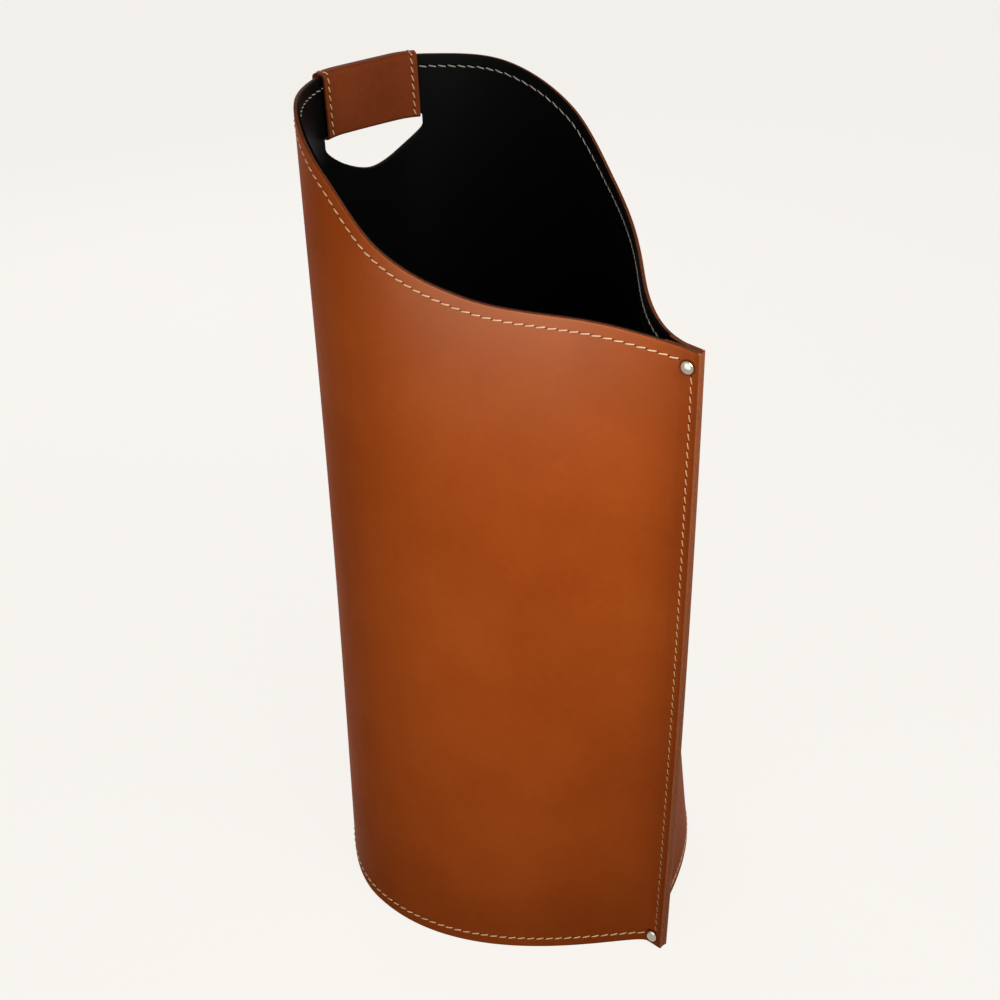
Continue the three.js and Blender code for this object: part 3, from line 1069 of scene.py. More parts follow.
@dataclass
class WallPly:
    """One leather ply of the wall, cut as one flat blank with the hand hole in it."""

    wall: BagWall
    hole: HandHole
    name: str
    depth: float
    thickness: float
    lower_edge: float
    slot: Slot
    finishes: dict[WallPart, Finish]
    outer_round: float = 1.2 * MM
    inner_round: float = 0.2 * MM
    tip_reach: float = 24 * MM
    round_steps: int = 4
    column: float = 3.4 * MM
    fold_column: float = 1.7 * MM
    fold_length: float = 46 * MM
    row: float = 17 * MM
    hole_row: float = 3.6 * MM
    low_rows: tuple[float, ...] = (0.0, 2.5 * MM, 5.5 * MM, 9 * MM, 14 * MM, 21 * MM, 30 * MM)
    rim_rows: tuple[float, ...] = (34 * MM, 24 * MM, 16 * MM, 10.5 * MM, 6.5 * MM, 3 * MM, 0.0)
    hole_rings: int = 5
    cut_beside: float = 0.75
    cut_above: float = 1.3
    over_hole_share: float = 1.5
    edge_tilt: float = 0.8

    def runs(self) -> list[float]:
        """Space out the blank's columns, closer towards the seam's fold.

        Returns:
            Their runs.
        """
        fold_start = self.wall.half_run - self.fold_length
        even = math.ceil(fold_start / self.column)
        close = math.ceil(self.fold_length / self.fold_column)
        right = [fold_start * step / even for step in range(1, even)]
        right += [fold_start + self.fold_length * step / close for step in range(close + 1)]
        return [-run for run in reversed(right)] + [0.0, *right]

    def level_rules(self) -> list[Callable[[float], float]]:
        """Space out the blank's rows, closer at its edges and at the hand hole.

        Returns:
            For each row the rule that gives its height at a run.
        """
        strip = self.hole.strip_height
        first = strip - self.hole.margin
        last = strip + self.hole.height + self.hole.margin
        steps = math.ceil((last - first) / self.hole_row)
        near_hole = [last - (last - first) * step / steps for step in range(steps + 1)]
        high = near_hole + list(self.rim_rows)
        low = [self.lower_edge + height for height in self.low_rows]
        middle = math.ceil((self.wall.handle_height - high[0] - low[-1]) / self.row)

        def blend(share: float) -> Callable[[float], float]:
            """A row between the highest low row and the lowest high one."""
            return lambda run: low[-1] + share * (self.wall.rim(run) - high[0] - low[-1])

        rules: list[Callable[[float], float]] = [lambda run, height=height: height for height in low]
        rules += [blend(step / middle) for step in range(1, middle)]
        rules += [lambda run, drop=drop: self.wall.rim(run) - drop for drop in high]
        return rules

    def blank(self) -> BMesh:
        """Lay out the blank's face as a grid of columns and rows with the hand hole in it.

        Returns:
            The flat face.
        """
        runs, rules = self.runs(), self.level_rules()
        shape = bmesh.new()
        bmesh.ops.create_grid(shape, x_segments=len(runs) - 1, y_segments=len(rules) - 1, size=0.5)
        cells = {}
        for vertex in shape.verts:
            column = round((vertex.co.x + 0.5) * (len(runs) - 1))
            row = round((vertex.co.y + 0.5) * (len(rules) - 1))
            cells[vertex] = (column, row)
            vertex.co = Vector((runs[column], rules[row](runs[column]), 0.0))
        self.open_hole(shape, cells)
        return shape

    def open_hole(self, shape: BMesh, cells: dict[BMVert, tuple[int, int]]) -> None:
        """Take the cells over the hand hole out and draw rings of faces in to the hole's outline.

        Args:
            shape: The flat face.
            cells: Column and row of each vertex.
        """
        top = self.wall.handle_height - self.hole.strip_height
        half = self.hole.width / 2 + self.hole.margin * self.cut_beside
        reach = self.cut_above * self.hole.margin
        runs = self.runs()
        columns = [i for i, run in enumerate(runs) if abs(run - self.hole.run) <= half]
        rows = [cell[1] for vertex, cell in cells.items() if cell[0] == columns[0]
                and top - self.hole.height - reach < vertex.co.y < top + reach]
        left, right, low, high = columns[0], columns[-1], min(rows), max(rows)

        def inside(vertex: BMVert) -> bool:
            """Whether a vertex belongs to the cells that go."""
            column, row = cells[vertex]
            return left <= column <= right and low <= row <= high

        gone = [face for face in shape.faces if all(inside(vertex) for vertex in face.verts)]
        ring_cells = {vertex: cells[vertex] for face in gone for vertex in face.verts
                      if cells[vertex][0] in (left, right) or cells[vertex][1] in (low, high)}
        bmesh.ops.delete(shape, geom=gone, context="FACES")
        upper, lower = self.hole.outline(top)
        around = 2 * (high - low) + (right - left)
        targets = {}
        for vertex, (column, row) in ring_cells.items():
            if row == high:
                target = upper.at((column - left) / (right - left))
            elif column == right:
                target = lower.at((high - row) / around)
            elif row == low:
                target = lower.at((high - low + right - column) / around)
            else:
                target = lower.at((around - (high - row)) / around)
            targets[vertex] = (vertex.co.copy(), target)
        edges = [edge for edge in shape.edges if edge.is_boundary and all(v in targets for v in edge.verts)]
        for ring in range(1, self.hole_rings + 1):
            edges, fresh = extrude(shape, edges)
            following = {}
            for vertex in fresh:
                before = next(edge.other_vert(vertex) for edge in vertex.link_edges
                              if edge.other_vert(vertex) in targets)
                outside, target = targets[before]
                vertex.co = outside.lerp(target, ring / self.hole_rings)
                following[vertex] = (outside, target)
            targets = following

    def build(self) -> BMesh:
        """Cut the blank, give it its wall and rounded edges, mark its stitch lines and bend it.

        Returns:
            The ply in its place.
        """
        shape = self.blank()
        faces = bmesh.ops.extrude_face_region(shape, geom=shape.faces[:])["geom"]
        moved = [item for item in faces if isinstance(item, BMVert)]
        bmesh.ops.translate(shape, verts=moved, vec=(0.0, 0.0, self.thickness))
        bmesh.ops.recalc_face_normals(shape, faces=shape.faces[:])
        for level, radius in ((0.0, self.outer_round), (self.thickness, self.inner_round)):
            round_off(shape, self.cut_edges(shape, level), radius, self.round_steps)
        bmesh.ops.translate(shape, verts=shape.verts[:], vec=(0.0, 0.0, self.depth))
        shape.normal_update()
        for face in shape.faces:
            if abs(face.normal.z) < self.edge_tilt:
                face.material_index = self.edge_part(face.calc_center_median())
        set_uv(shape, "blank", lambda co: (co.x, co.y))
        set_uv(shape, "rim", self.rim_place)
        bend(shape, self.wall.place)
        return shape

    def edge_part(self, centre: Vector) -> WallPart:
        """Find the part that a face of the blank's cut edges belongs to.

        Args:
            centre: The face's centre on the flat blank.

        Returns:
            The part.
        """
        top = self.wall.handle_height - self.hole.strip_height
        low, high = top - self.over_hole_share * self.hole.height, top + self.hole.strip_height / 2
        if abs(centre.x - self.hole.run) < self.hole.width and low < centre.y < high:
            return WallPart.HOLE_EDGE
        from_seam = self.wall.half_run - abs(centre.x)
        if from_seam < self.outer_round:
            return WallPart.SEAM_EDGE
        return WallPart.TIP_EDGE if from_seam < self.tip_reach else WallPart.EDGE

    def rim_place(self, co: Vector) -> tuple[float, float]:
        """Distance along the rim, and square to it, of a place on the blank."""
        return self.wall.rim_distance(co.x), (self.wall.rim(co.x) - co.y) / self.wall.rim_tilt(co.x)

    def cut_edges(self, shape: BMesh, level: float) -> list[BMEdge]:
        """Find the cut edges of one face of the blank.

        Args:
            shape: The blank with its wall.
            level: Depth of the face.

        Returns:
            The edges.
        """
        return [
            edge for edge in shape.edges
            if all(abs(vertex.co.z - level) < LEVEL_WITHIN for vertex in edge.verts)
            and any(abs(face.normal.z) < TURNED for face in edge.link_faces)
        ]

    def dress(self) -> None:
        """Build the ply and give it its leather and its edges."""
        name = self.name.replace("_shell", "_ply")
        finish_piece(self.build(), name, self.name, self.slot, [self.finishes[part] for part in WallPart])


@dataclass
class HandleSleeve:
    """The leather sleeve round the strip above the hand hole."""

    wall: BagWall
    hole: HandHole
    finishes: BagFinishes
    width: float = 87 * MM
    leather: float = 2 * MM
    room: float = 1.4 * MM
    corner: float = 3.5 * MM
    edge_round: float = 0.6 * MM
    stitch_inset: float = 5 * MM
    stitch_pitch: float = 6.2 * MM
    stitch_opening: float = 1.4 * MM
    stitch_margin: float = 0.5 * MM
    corner_points: int = 9
    side_points: int = 12
    columns: int = 28

    @cached_property
    def section(self) -> MeasuredLine:
        """The sleeve's outer section, as depths and heights above the strip's lower edge.

        It starts and ends in the middle of the sleeve's own lower edge, and goes up inside the bag first.
        """
        left, right = -self.room - self.leather, self.wall.thickness + self.room + self.leather
        low, high = -self.wall.gap - self.leather, self.hole.strip_height + self.wall.gap + self.leather
        middle = (left + right) / 2
        corners = [((right, low), (-1, 1), 270), ((right, high), (-1, -1), 0),
                   ((left, high), (1, -1), 90), ((left, low), (1, 1), 180)]
        points = [Vector((middle, low))]
        for (x, y), (in_x, in_y), start in corners:
            centre = Vector((x + in_x * self.corner, y + in_y * self.corner))
            for step in range(self.corner_points):
                angle = math.radians(start + 90 * step / (self.corner_points - 1))
                points.append(centre + self.corner * Vector((math.cos(angle), math.sin(angle))))
        return MeasuredLine([*points, Vector((middle, low))])

    @property
    def fold_start(self) -> float:
        """Way round the section to the height of the strip's lower edge, inside the bag."""
        corner_end = self.section.distances[self.corner_points]
        return corner_end - (self.section.points[0].y + self.corner)

    @property
    def stitch_row(self) -> StitchRow:
        """The stitches over the fold, from the strip's lower edge inside to the same height outside."""
        high = self.section.length - 2 * self.fold_start
        return StitchRow.fitted(-self.stitch_margin, high + self.stitch_margin, self.stitch_pitch,
                                self.stitch_opening)

    def over_fold(self, co: Vector) -> float:
        """Find the way over the fold, from the strip's lower edge inside the bag.

        Args:
            co: A place on the sleeve before it is bent with the wall.

        Returns:
            The way to the section's nearest point.
        """
        here = Vector((co.z, co.y))
        ways = []
        for start, (before, after) in zip(self.section.distances, pairwise(self.section.points)):
            step = after - before
            share = min(max((here - before).dot(step) / step.length_squared, 0.0), 1.0)
            ways.append(((here - before - share * step).length, start + share * step.length))
        return min(ways)[1] - self.fold_start

    def place(self, run: float, height: float, depth: float) -> Vector:
        """Find a place on the strip: height is measured from the strip's lower edge."""
        return self.wall.place(run, self.wall.rim(run) - self.hole.strip_height + height, depth)

    def build(self) -> BMesh:
        """Fold the sleeve, give it its thickness and rounded rims, and bend it with the wall.

        Returns:
            The sleeve in its place.
        """
        ring = self.spread_points()
        shape = bmesh.new()
        circle = bmesh.ops.create_circle(shape, segments=len(ring), radius=1.0)["verts"]
        for vertex, point in zip(circle, ring, strict=True):
            vertex.co = Vector((self.hole.run - self.width / 2, point.y, point.x))
        edges = shape.edges[:]
        for _ in range(self.columns):
            edges, fresh = extrude(shape, edges)
            bmesh.ops.translate(shape, verts=fresh, vec=(self.width / self.columns, 0.0, 0.0))
        bmesh.ops.recalc_face_normals(shape, faces=shape.faces[:])
        bmesh.ops.solidify(shape, geom=shape.faces[:], thickness=self.leather)
        bmesh.ops.recalc_face_normals(shape, faces=shape.faces[:])
        rims = [edge for edge in shape.edges
                if edge.calc_face_angle(0.0) > math.radians(60)
                and abs(edge.verts[0].co.x - edge.verts[1].co.x) < LEVEL_WITHIN]
        round_off(shape, rims, self.edge_round)
        shape.normal_update()
        for face in shape.faces:
            face.material_index = int(abs(face.normal.x) > TURNED)
        set_uv(shape, "sleeve", lambda co: (co.x - self.hole.run, self.over_fold(co)))
        bend(shape, self.place)
        return shape

    def spread_points(self) -> list[Vector]:
        """Add points along the straight sides of the section.

        Returns:
            The section's points and the new ones, in order.
        """
        points: list[Vector] = []
        for before, after in pairwise(self.section.points):
            steps = max(1, round((after - before).length / (self.hole.strip_height / self.side_points)))
            points += [before.lerp(after, step / steps) for step in range(steps)]
        return points

    def dress(self) -> None:
        """Build the sleeve and give it its leather, which its stitches mark, and its edges."""
        across = self.width / 2 - self.stitch_inset
        line = StitchLine("sleeve", across, self.stitch_row, axes="YX", mirrored=True)
        leather = replace(self.finishes.sleeve, stitches=(line,))
        finish_piece(self.build(), "handle_sleeve_leather", "handle_sleeve", Slot.HANDLE,
                     [leather, self.finishes.sleeve_edge])


@dataclass
class Stitches:
    """The stitches of one seam on one face: separate slanted lengths of thread between the holes."""

    name: str
    row: StitchRow
    place: Callable[[float], StitchPlace]
    finish: Finish
    lean: float = 0.6 * MM
    width: float = 0.95 * MM
    rise: float = 0.65 * MM
    sink: float = 0.45 * MM
    arch_power: float = 0.4
    end_share: float = 0.85
    swell_share: float = 0.15
    sides: int = 8
    rings: int = 7

    def one(self) -> BMesh:
        """One straight stitch, of length and width one, with the twist's UVs on it.

        Returns:
            The stitch along z.
        """
        shape = bmesh.new()
        bmesh.ops.create_cone(shape, cap_ends=True, segments=self.sides, radius1=0.5, radius2=0.5, depth=1.0)
        for ring in range(1, self.rings - 1):
            level = Vector((0.0, 0.0, ring / (self.rings - 1) - 0.5))
            bmesh.ops.bisect_plane(shape, geom=shape.verts[:] + shape.edges[:] + shape.faces[:],
                                   plane_co=level, plane_no=(0.0, 0.0, 1.0))
        layer = shape.loops.layers.uv.new("twist")
        length = self.row.pitch - self.row.opening
        for face in shape.faces:
            centre = face.calc_center_median()
            middle = math.atan2(centre.y, centre.x)
            for loop in face.loops:
                co = loop.vert.co
                angle = math.atan2(co.y, co.x)
                angle += round((middle - angle) / math.tau) * math.tau
                loop[layer].uv = (co.z * length, angle / math.tau)
        return shape

    def build(self) -> BMesh:
        """Lay every stitch of the row on the leather, its ends sunk in their holes.

        Returns:
            The row of stitches in its place.
        """
        pattern = bpy.data.meshes.new("stitch_pattern")
        single = self.one()
        single.to_mesh(pattern)
        single.free()
        shape = bmesh.new()
        for stitch in range(self.row.count):
            first = len(shape.verts)
            shape.from_mesh(pattern)
            shape.verts.ensure_lookup_table()
            for vertex in shape.verts[first:]:
                vertex.co = self.lay(stitch, vertex.co)
        bpy.data.meshes.remove(pattern)
        # Laying a row can mirror its stitches, and recalculated normals fail on shapes as small as these
        if shape.calc_volume(signed=True) < 0:
            bmesh.ops.reverse_faces(shape, faces=shape.faces[:])
        return shape

    def lay(self, stitch: int, local: Vector) -> Vector:
        """Move a point of the straight stitch to its place on the leather.

        Args:
            stitch: Number of the stitch in its row.
            local: The point on the straight stitch.

        Returns:
            The point in the part's frame.
        """
        share = local.z + 0.5
        start = self.row.start + stitch * self.row.pitch + self.row.opening / 2
        distance = start + share * (self.row.pitch - self.row.opening)
        point, out, side = self.place(distance)
        arch = math.sin(math.pi * share) ** self.arch_power
        swell = self.end_share + self.swell_share * math.sin(math.pi * share)
        away = -self.sink + (self.sink + self.rise - self.width / 2) * arch
        across = local.x * self.width * swell + self.lean * (1 - 2 * share)
        return point + side * across + out * (away + local.y * self.width * swell)

    def dress(self) -> None:
        """Build the row and give it its thread, which has no creases."""
        node = self.name.replace("_stitches_", "_thread_")
        finish_piece(self.build(), self.name, node, Slot.THREAD, [self.finish], sharp=180.0)


@dataclass
class ThreadWork:
    """All the bag's stitching, laid out on its wall, base and sleeve."""

    wall: BagWall
    hole: HandHole
    sleeve: HandleSleeve
    finishes: BagFinishes
    rim_inset: float = 8.5 * MM
    rim_pitch: float = 7.4 * MM
    rim_width: float = 1.15 * MM
    rim_closing_room: float = 3.5 * MM
    seam_pitch: float = 6.65 * MM
    seam_opening: float = 1.4 * MM
    seam_inset: float = 5 * MM
    base_height: float = 8 * MM
    base_width: float = 1.1 * MM
    base_closing_room: float = 12 * MM
    sleeve_width: float = 1.1 * MM
    sleeve_lean: float = 0.75 * MM
    rivet_inset: float = 8 * MM
    rivet_radius: float = 4.75 * MM
    rivet_room_along: float = 1 * MM
    rivet_room_up: float = 0.6 * MM
    top_rivet_drop: float = 10.5 * MM
    bottom_rivet_height: float = 9 * MM
    base_leather: float = 2.2 * MM
    fold_probe: float = 0.2 * MM
    side_probe: float = 1 * MM

    @property
    def rivet_clear_run(self) -> float:
        """The run up to which a row can go before it meets the rivet."""
        return self.wall.half_run - self.rivet_inset - self.rivet_radius - self.rivet_room_along

    @property
    def flange_depth(self) -> float:
        """Depth of the inner face of the base's turned-down edge."""
        return self.wall.inside_depth + self.base_leather

    @property
    def rivet_heights(self) -> tuple[float, float]:
        """Heights of the upper and the lower rivet."""
        return self.wall.seam_height - self.top_rivet_drop, self.bottom_rivet_height

    def rim_row(self) -> StitchRow:
        """The rim's row, by the distance along the rim."""
        low, high = (self.wall.rim_distance(sign * self.rivet_clear_run) for sign in (-1, 1))
        return StitchRow.fitted(low, high, self.rim_pitch)

    def base_row(self) -> StitchRow:
        """The base's row, by run."""
        return StitchRow.fitted(-self.rivet_clear_run, self.rivet_clear_run)

    def seam_row(self) -> StitchRow:
        """Fit the seam's row between the two rivets.

        Returns:
            The row, by height.
        """
        reach = self.rivet_radius + self.rivet_room_up
        top, bottom = self.rivet_heights
        return StitchRow.fitted(bottom + reach, top - reach, self.seam_pitch, self.seam_opening)

    def on_wall(self, run: float, height: float, depth: float, up: Vector) -> StitchPlace:
        """A place on a face of the wall, with the way out of it and the side that stitches lean to.

        Args:
            run: Signed run from the middle of the back.
            height: Height above the floor.
            depth: Depth of the face, 0 for the outer one.
            up: The side that a stitch's first end leans to.

        Returns:
            The place, the way out of the leather and the leaning side.
        """
        out = self.wall.outward(run, height) * (1 if depth == 0 else -1)
        return self.wall.place(run, height, depth), out, up

    def rim_stitches(self, depth: float) -> Stitches:
        """Lay out the rim's stitches on one face.

        Args:
            depth: Depth of the face, 0 for the outer one.

        Returns:
            The row of stitches.
        """
        row = self.rim_row()
        if depth > 0:
            height = self.wall.seam_height - self.rim_inset
            reach = self.wall.closing_run(height, depth, self.rim_closing_room)
            low, high = (self.wall.rim_distance(sign * reach) for sign in (-1, 1))
            first = math.ceil((low - row.start) / row.pitch)
            last = math.floor((high - row.start) / row.pitch)
            row = StitchRow(start=row.start + first * row.pitch, count=last - first, pitch=row.pitch)

        def place(distance: float) -> StitchPlace:
            """A place on the rim's line of stitches."""
            run = self.wall.run_at_rim(distance)
            height = self.wall.rim(run) - self.rim_inset * self.wall.rim_tilt(run)
            return self.on_wall(run, height, depth, UP)

        if depth > 0:
            return Stitches("rim_stitches_inside", row, place, self.finishes.lining_thread)
        return Stitches("rim_stitches_outside", row, place, self.finishes.thread, width=self.rim_width)

    def base_stitches(self, depth: float) -> Stitches:
        """Lay out the base's stitches on one face.

        Args:
            depth: Depth of the face, 0 for the outer one.

        Returns:
            The row of stitches.
        """
        row = self.base_row()
        if depth > 0:
            reach = self.wall.closing_run(self.base_height, depth, self.base_closing_room)
            row = StitchRow.fitted(-reach, reach)

        def place(distance: float) -> StitchPlace:
            """A place on the base's line of stitches."""
            return self.on_wall(distance, self.base_height, depth, UP)

        if depth > 0:
            return Stitches("base_stitches_inside", row, place, self.finishes.lining_thread)
        return Stitches("base_stitches_outside", row, place, self.finishes.warm_thread, width=self.base_width)

    def seam_stitches(self, side: Side) -> Stitches:
        """Lay out the seam's stitches on one face.

        Args:
            side: The side of the seam that the face looks to.

        Returns:
            The row of stitches.
        """
        run = side * (self.wall.half_run - self.seam_inset)

        def place(height: float) -> StitchPlace:
            """A place on the seam's line of stitches."""
            edge = self.wall.plan(side * self.wall.half_run, height) - self.wall.plan(run, height)
            return self.on_wall(run, height, 0.0, Vector((edge.x, edge.y, 0.0)).normalized())

        name = f"seam_stitches_{side.name.lower()}"
        return Stitches(name, self.seam_row(), place, self.finishes.seam_stitch_thread)

    def sleeve_stitches(self, side: Side) -> Stitches:
        """Lay out the stitches over the fold at one side of the sleeve.

        Args:
            side: The side of the sleeve.

        Returns:
            The row of stitches.
        """
        run = self.hole.run + side * (self.sleeve.width / 2 - self.sleeve.stitch_inset)
        section, start = self.sleeve.section, self.sleeve.fold_start

        def place(distance: float) -> StitchPlace:
            """A place on the line of stitches over the fold."""
            here = section.at_distance(start + distance)
            ahead = section.at_distance(start + distance + self.fold_probe)
            step = (ahead - here).normalized()
            out = self.wall.outward(run, self.wall.handle_height) * -step.y
            out.z = -step.x
            after = self.sleeve.place(run + self.side_probe, here.y, here.x)
            before = self.sleeve.place(run - self.side_probe, here.y, here.x)
            return self.sleeve.place(run, here.y, here.x), out.normalized(), (after - before).normalized()

        name = f"handle_stitches_{side.name.lower()}"
        return Stitches(name, self.sleeve.stitch_row, place, self.finishes.warm_thread,
                        lean=self.sleeve_lean, width=self.sleeve_width)

    def dress(self) -> None:
        """Build every row of the bag's stitching."""
        rows = [
            *(self.rim_stitches(depth) for depth in (0.0, self.wall.thickness)),
            *(self.base_stitches(depth) for depth in (0.0, self.flange_depth)),
            *(self.seam_stitches(side) for side in Side),
            *(self.sleeve_stitches(side) for side in Side),
        ]
        for row in rows:
            row.dress()


@dataclass
class BaseStack:
    """The leather base panel with its turned-down edge, the board on it and the lining over both."""

    wall: BagWall
    finishes: BagFinishes
    leather: float = 2.2 * MM
    top: float = 17 * MM
    edge_lift: float = 1 * MM
    board_thickness: float = 3 * MM
    lining_thickness: float = 1.5 * MM
    nose_width: float = 6 * MM
    turn_radius: float = 2 * MM
    edge_round: float = 0.5 * MM
    crease: float = 35.0
    column: float = 3.4 * MM

    @cached_property
    def reach(self) -> float:
        """The run at which the base's outline closes with a short nose behind the seam."""
        return self.wall.closing_run(self.top, self.wall.inside_depth, self.nose_width)

    @property
    def steps(self) -> int:
        """Points in a ring round the base."""
        return 2 * math.ceil(self.reach / self.column) + 1

    def ring(self, height: float, depth: float, room: float) -> list[Vector]:
        """A level ring inside the wall.

        Args:
            height: Height above the floor.
            depth: Depth from the wall's outer face.
            room: Width of the nose behind the seam.

        Returns:
            The ring's points, anticlockwise from above.
        """
        reach = self.wall.closing_run(self.top, depth, room)
        runs = [reach * (1 - 2 * step / (self.steps - 1)) for step in range(self.steps)]
        return [self.wall.place(run, height, depth) for run in runs]

    def start(self, ring: list[Vector]) -> tuple[BMesh, list[BMEdge]]:
        """Start a shape from one ring of points.

        Args:
            ring: The points.

        Returns:
            The shape, and the ring's edges.
        """
        shape = bmesh.new()
        order = shape.verts.layers.int.new("ring_order")
        circle = bmesh.ops.create_circle(shape, segments=len(ring), radius=1.0)["verts"]
        for place, vertex in enumerate(circle):
            vertex.co, vertex[order] = ring[place], place
        return shape, shape.edges[:]

    def carry(self, shape: BMesh, edges: list[BMEdge],
              ring: list[Vector]) -> list[BMEdge]:
        """Extrude a ring of edges to the next ring of points.

        Args:
            shape: The shape.
            edges: The open ring of edges.
            ring: Where its copy goes.

        Returns:
            The copy's edges.
        """
        order = shape.verts.layers.int["ring_order"]
        edges, fresh = extrude(shape, edges)
        for vertex in fresh:
            vertex.co = ring[vertex[order]]
        return edges

    def close(self, shape: BMesh, edges: list[BMEdge]) -> None:
        """Fill a ring of edges with one level face."""
        bmesh.ops.contextual_create(shape, geom=edges)

    def soften(self, shape: BMesh, height: float, radius: float, angle: float = 50.0) -> None:
        """Round the sharp edges of a shape at one height.

        Args:
            shape: The shape.
            height: Height of the edges.
            radius: Radius of the rounding.
            angle: Angle in degrees from which an edge counts as sharp.
        """
        bmesh.ops.recalc_face_normals(shape, faces=shape.faces[:])
        edges = [edge for edge in shape.edges
                 if all(abs(vertex.co.z - height) < LEVEL_WITHIN for vertex in edge.verts)
                 and edge.calc_face_angle(0.0) > math.radians(angle)]
        round_off(shape, edges, radius)

    def panel(self) -> BMesh:
        """The base panel: a flat floor whose edge is turned down inside the wall.

        Returns:
            The panel in its place.
        """
        inside, flange = self.wall.inside_depth, self.wall.inside_depth + self.leather
        room = self.nose_width + 2 * self.leather
        shape, edges = self.start(self.ring(self.top - self.leather, flange, room))
        self.close(shape, edges)
        edges = self.carry(shape, edges, self.ring(self.edge_lift, flange, room))
        edges = self.carry(shape, edges, self.ring(self.edge_lift, inside, self.nose_width))
        edges = self.carry(shape, edges, self.ring(self.top, inside, self.nose_width))
        self.close(shape, edges)
        self.soften(shape, self.top, self.turn_radius)
        self.soften(shape, self.edge_lift, self.edge_round)
        shape.normal_update()
        for face in shape.faces:
            low = face.calc_center_median().z < self.edge_lift + self.edge_round
            face.material_index = int(low and face.normal.z < -TURNED)
        return shape

    def lining(self) -> BMesh:
        """The lining sheet over the board, its upper edge rounded.

        Returns:
            The lining in its place.
        """
        bottom = self.top + self.wall.gap + self.board_thickness + self.wall.gap
        inside = self.wall.inside_depth
        shape, edges = self.start(self.ring(bottom, inside, self.nose_width))
        self.close(shape, edges)
        edges = self.carry(shape, edges, self.ring(bottom + self.lining_thickness, inside, self.nose_width))
        self.close(shape, edges)
        self.soften(shape, bottom + self.lining_thickness, self.edge_round)
        return shape

    def dress(self) -> None:
        """Build the panel and the lining, and give the board its fibres."""
        finish_piece(self.panel(), "base_leather", "base_panel", Slot.COGNAC,
                     [self.finishes.base, self.finishes.edge], self.crease)
        finish_piece(self.lining(), "base_lining_leather", "base_lining", Slot.BLACK,
                     [self.finishes.base_lining], self.crease)
        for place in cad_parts["base_board"].material_slots:
            place.material = self.finishes.board.material()


@dataclass
class SeamRivet:
    """A rivet through the seam: a domed cap on the left and a post with a flat head on the right."""

    wall: BagWall
    name: str
    height: float
    finish: Finish
    inset: float = 8 * MM
    head_radius: float = 4.75 * MM
    dome: float = 2.2 * MM
    rim: float = 0.5 * MM
    back: float = 1.1 * MM
    back_flat_share: float = 0.75
    under_inset: float = 0.3 * MM
    under_lift: float = 0.25 * MM
    shank_radius: float = 1.6 * MM
    socket_depth: float = 1.4 * MM
    socket_room: float = 0.3 * MM
    crease: float = 50.0
    steps: int = 56
    dome_steps: int = 12

    @property
    def seat(self) -> float:
        """Distance from the seam's middle to the underside of a head."""
        return self.wall.half_seam + self.wall.gap

    def cap_profile(self) -> list[tuple[float, float]]:
        """Draw the cap, with the socket that the post goes into.

        Returns:
            Radii and distances along the rivet's axis.
        """
        socket = self.shank_radius + self.socket_room
        dome = []
        for step in range(self.dome_steps + 1):
            angle = math.pi / 2 * step / self.dome_steps
            along = self.seat + self.rim + self.dome * math.sin(angle)
            dome.append((self.head_radius * math.cos(angle), along))
        return [(0.0, self.seat + self.socket_depth), (socket, self.seat + self.socket_depth),
                (socket, self.seat), (self.head_radius - self.under_inset, self.seat),
                (self.head_radius, self.seat + self.under_lift), *dome[:-1],
                (0.0, self.seat + self.rim + self.dome)]

    def post_profile(self) -> list[tuple[float, float]]:
        """Draw the post and its flat head.

        Returns:
            Radii and distances along the rivet's axis.
        """
        tip = self.seat + self.socket_depth - self.wall.gap
        back = -self.seat - self.rim - self.back
        return [(0.0, back), (self.head_radius * self.back_flat_share, back),
                (self.head_radius, -self.seat - self.rim), (self.head_radius, -self.seat),
                (self.shank_radius, -self.seat), (self.shank_radius, tip), (0.0, tip)]

    def turned(self, profile: list[tuple[float, float]]) -> BMesh:
        """Turn a profile round the rivet's axis and set it in the seam.

        Args:
            profile: Radii and distances along the axis, from the axis to the axis.

        Returns:
            The turned piece in its place.
        """
        shape = bmesh.new()
        points = [shape.verts.new((radius, 0.0, along)) for radius, along in profile]
        edges = [shape.edges.new(pair) for pair in pairwise(points)]
        bmesh.ops.spin(shape, geom=points + edges, cent=(0.0, 0.0, 0.0), axis=(0.0, 0.0, 1.0),
                       angle=math.tau, steps=self.steps, use_merge=True)
        bmesh.ops.remove_doubles(shape, verts=shape.verts[:], dist=LEVEL_WITHIN)
        bmesh.ops.recalc_face_normals(shape, faces=shape.faces[:])
        bmesh.ops.transform(shape, matrix=self.seat_matrix(), verts=shape.verts[:])
        return shape

    def seat_matrix(self) -> Matrix:
        """Find the rivet's place through the seam.

        Returns:
            The move that takes its own axis there.
        """
        run = self.wall.half_run - self.inset
        left, right = self.wall.place(-run, self.height, 0.0), self.wall.place(run, self.height, 0.0)
        turn = UP.rotation_difference(left - right).to_matrix().to_4x4()
        return Matrix.Translation((left + right) / 2) @ turn

    def dress(self) -> None:
        """Build the cap and the post and give them their plating."""
        for kind, profile in (("cap", self.cap_profile()), ("post", self.post_profile())):
            node = f"{self.name}_rivet_{kind}"
            finish_piece(self.turned(profile), f"{node}_plated", node, Slot.NICKEL, [self.finish],
                         self.crease)


# Studio


def shown_background(node: MakeNode) -> Node:
    """Tell the rays that show the backdrop itself: seen by the camera, in metal or through glass.

    Args:
        node: Adds a node to the material or the world.

    Returns:
        A node that gives such a ray 1.
    """
    ray = node("LightPath")
    shown = ray.outputs["Is Camera Ray"]
    for kind in ("Is Glossy Ray", "Is Transmission Ray"):
        shown = node("Math", [shown, ray.outputs[kind]], operation="MAXIMUM")
    return shown


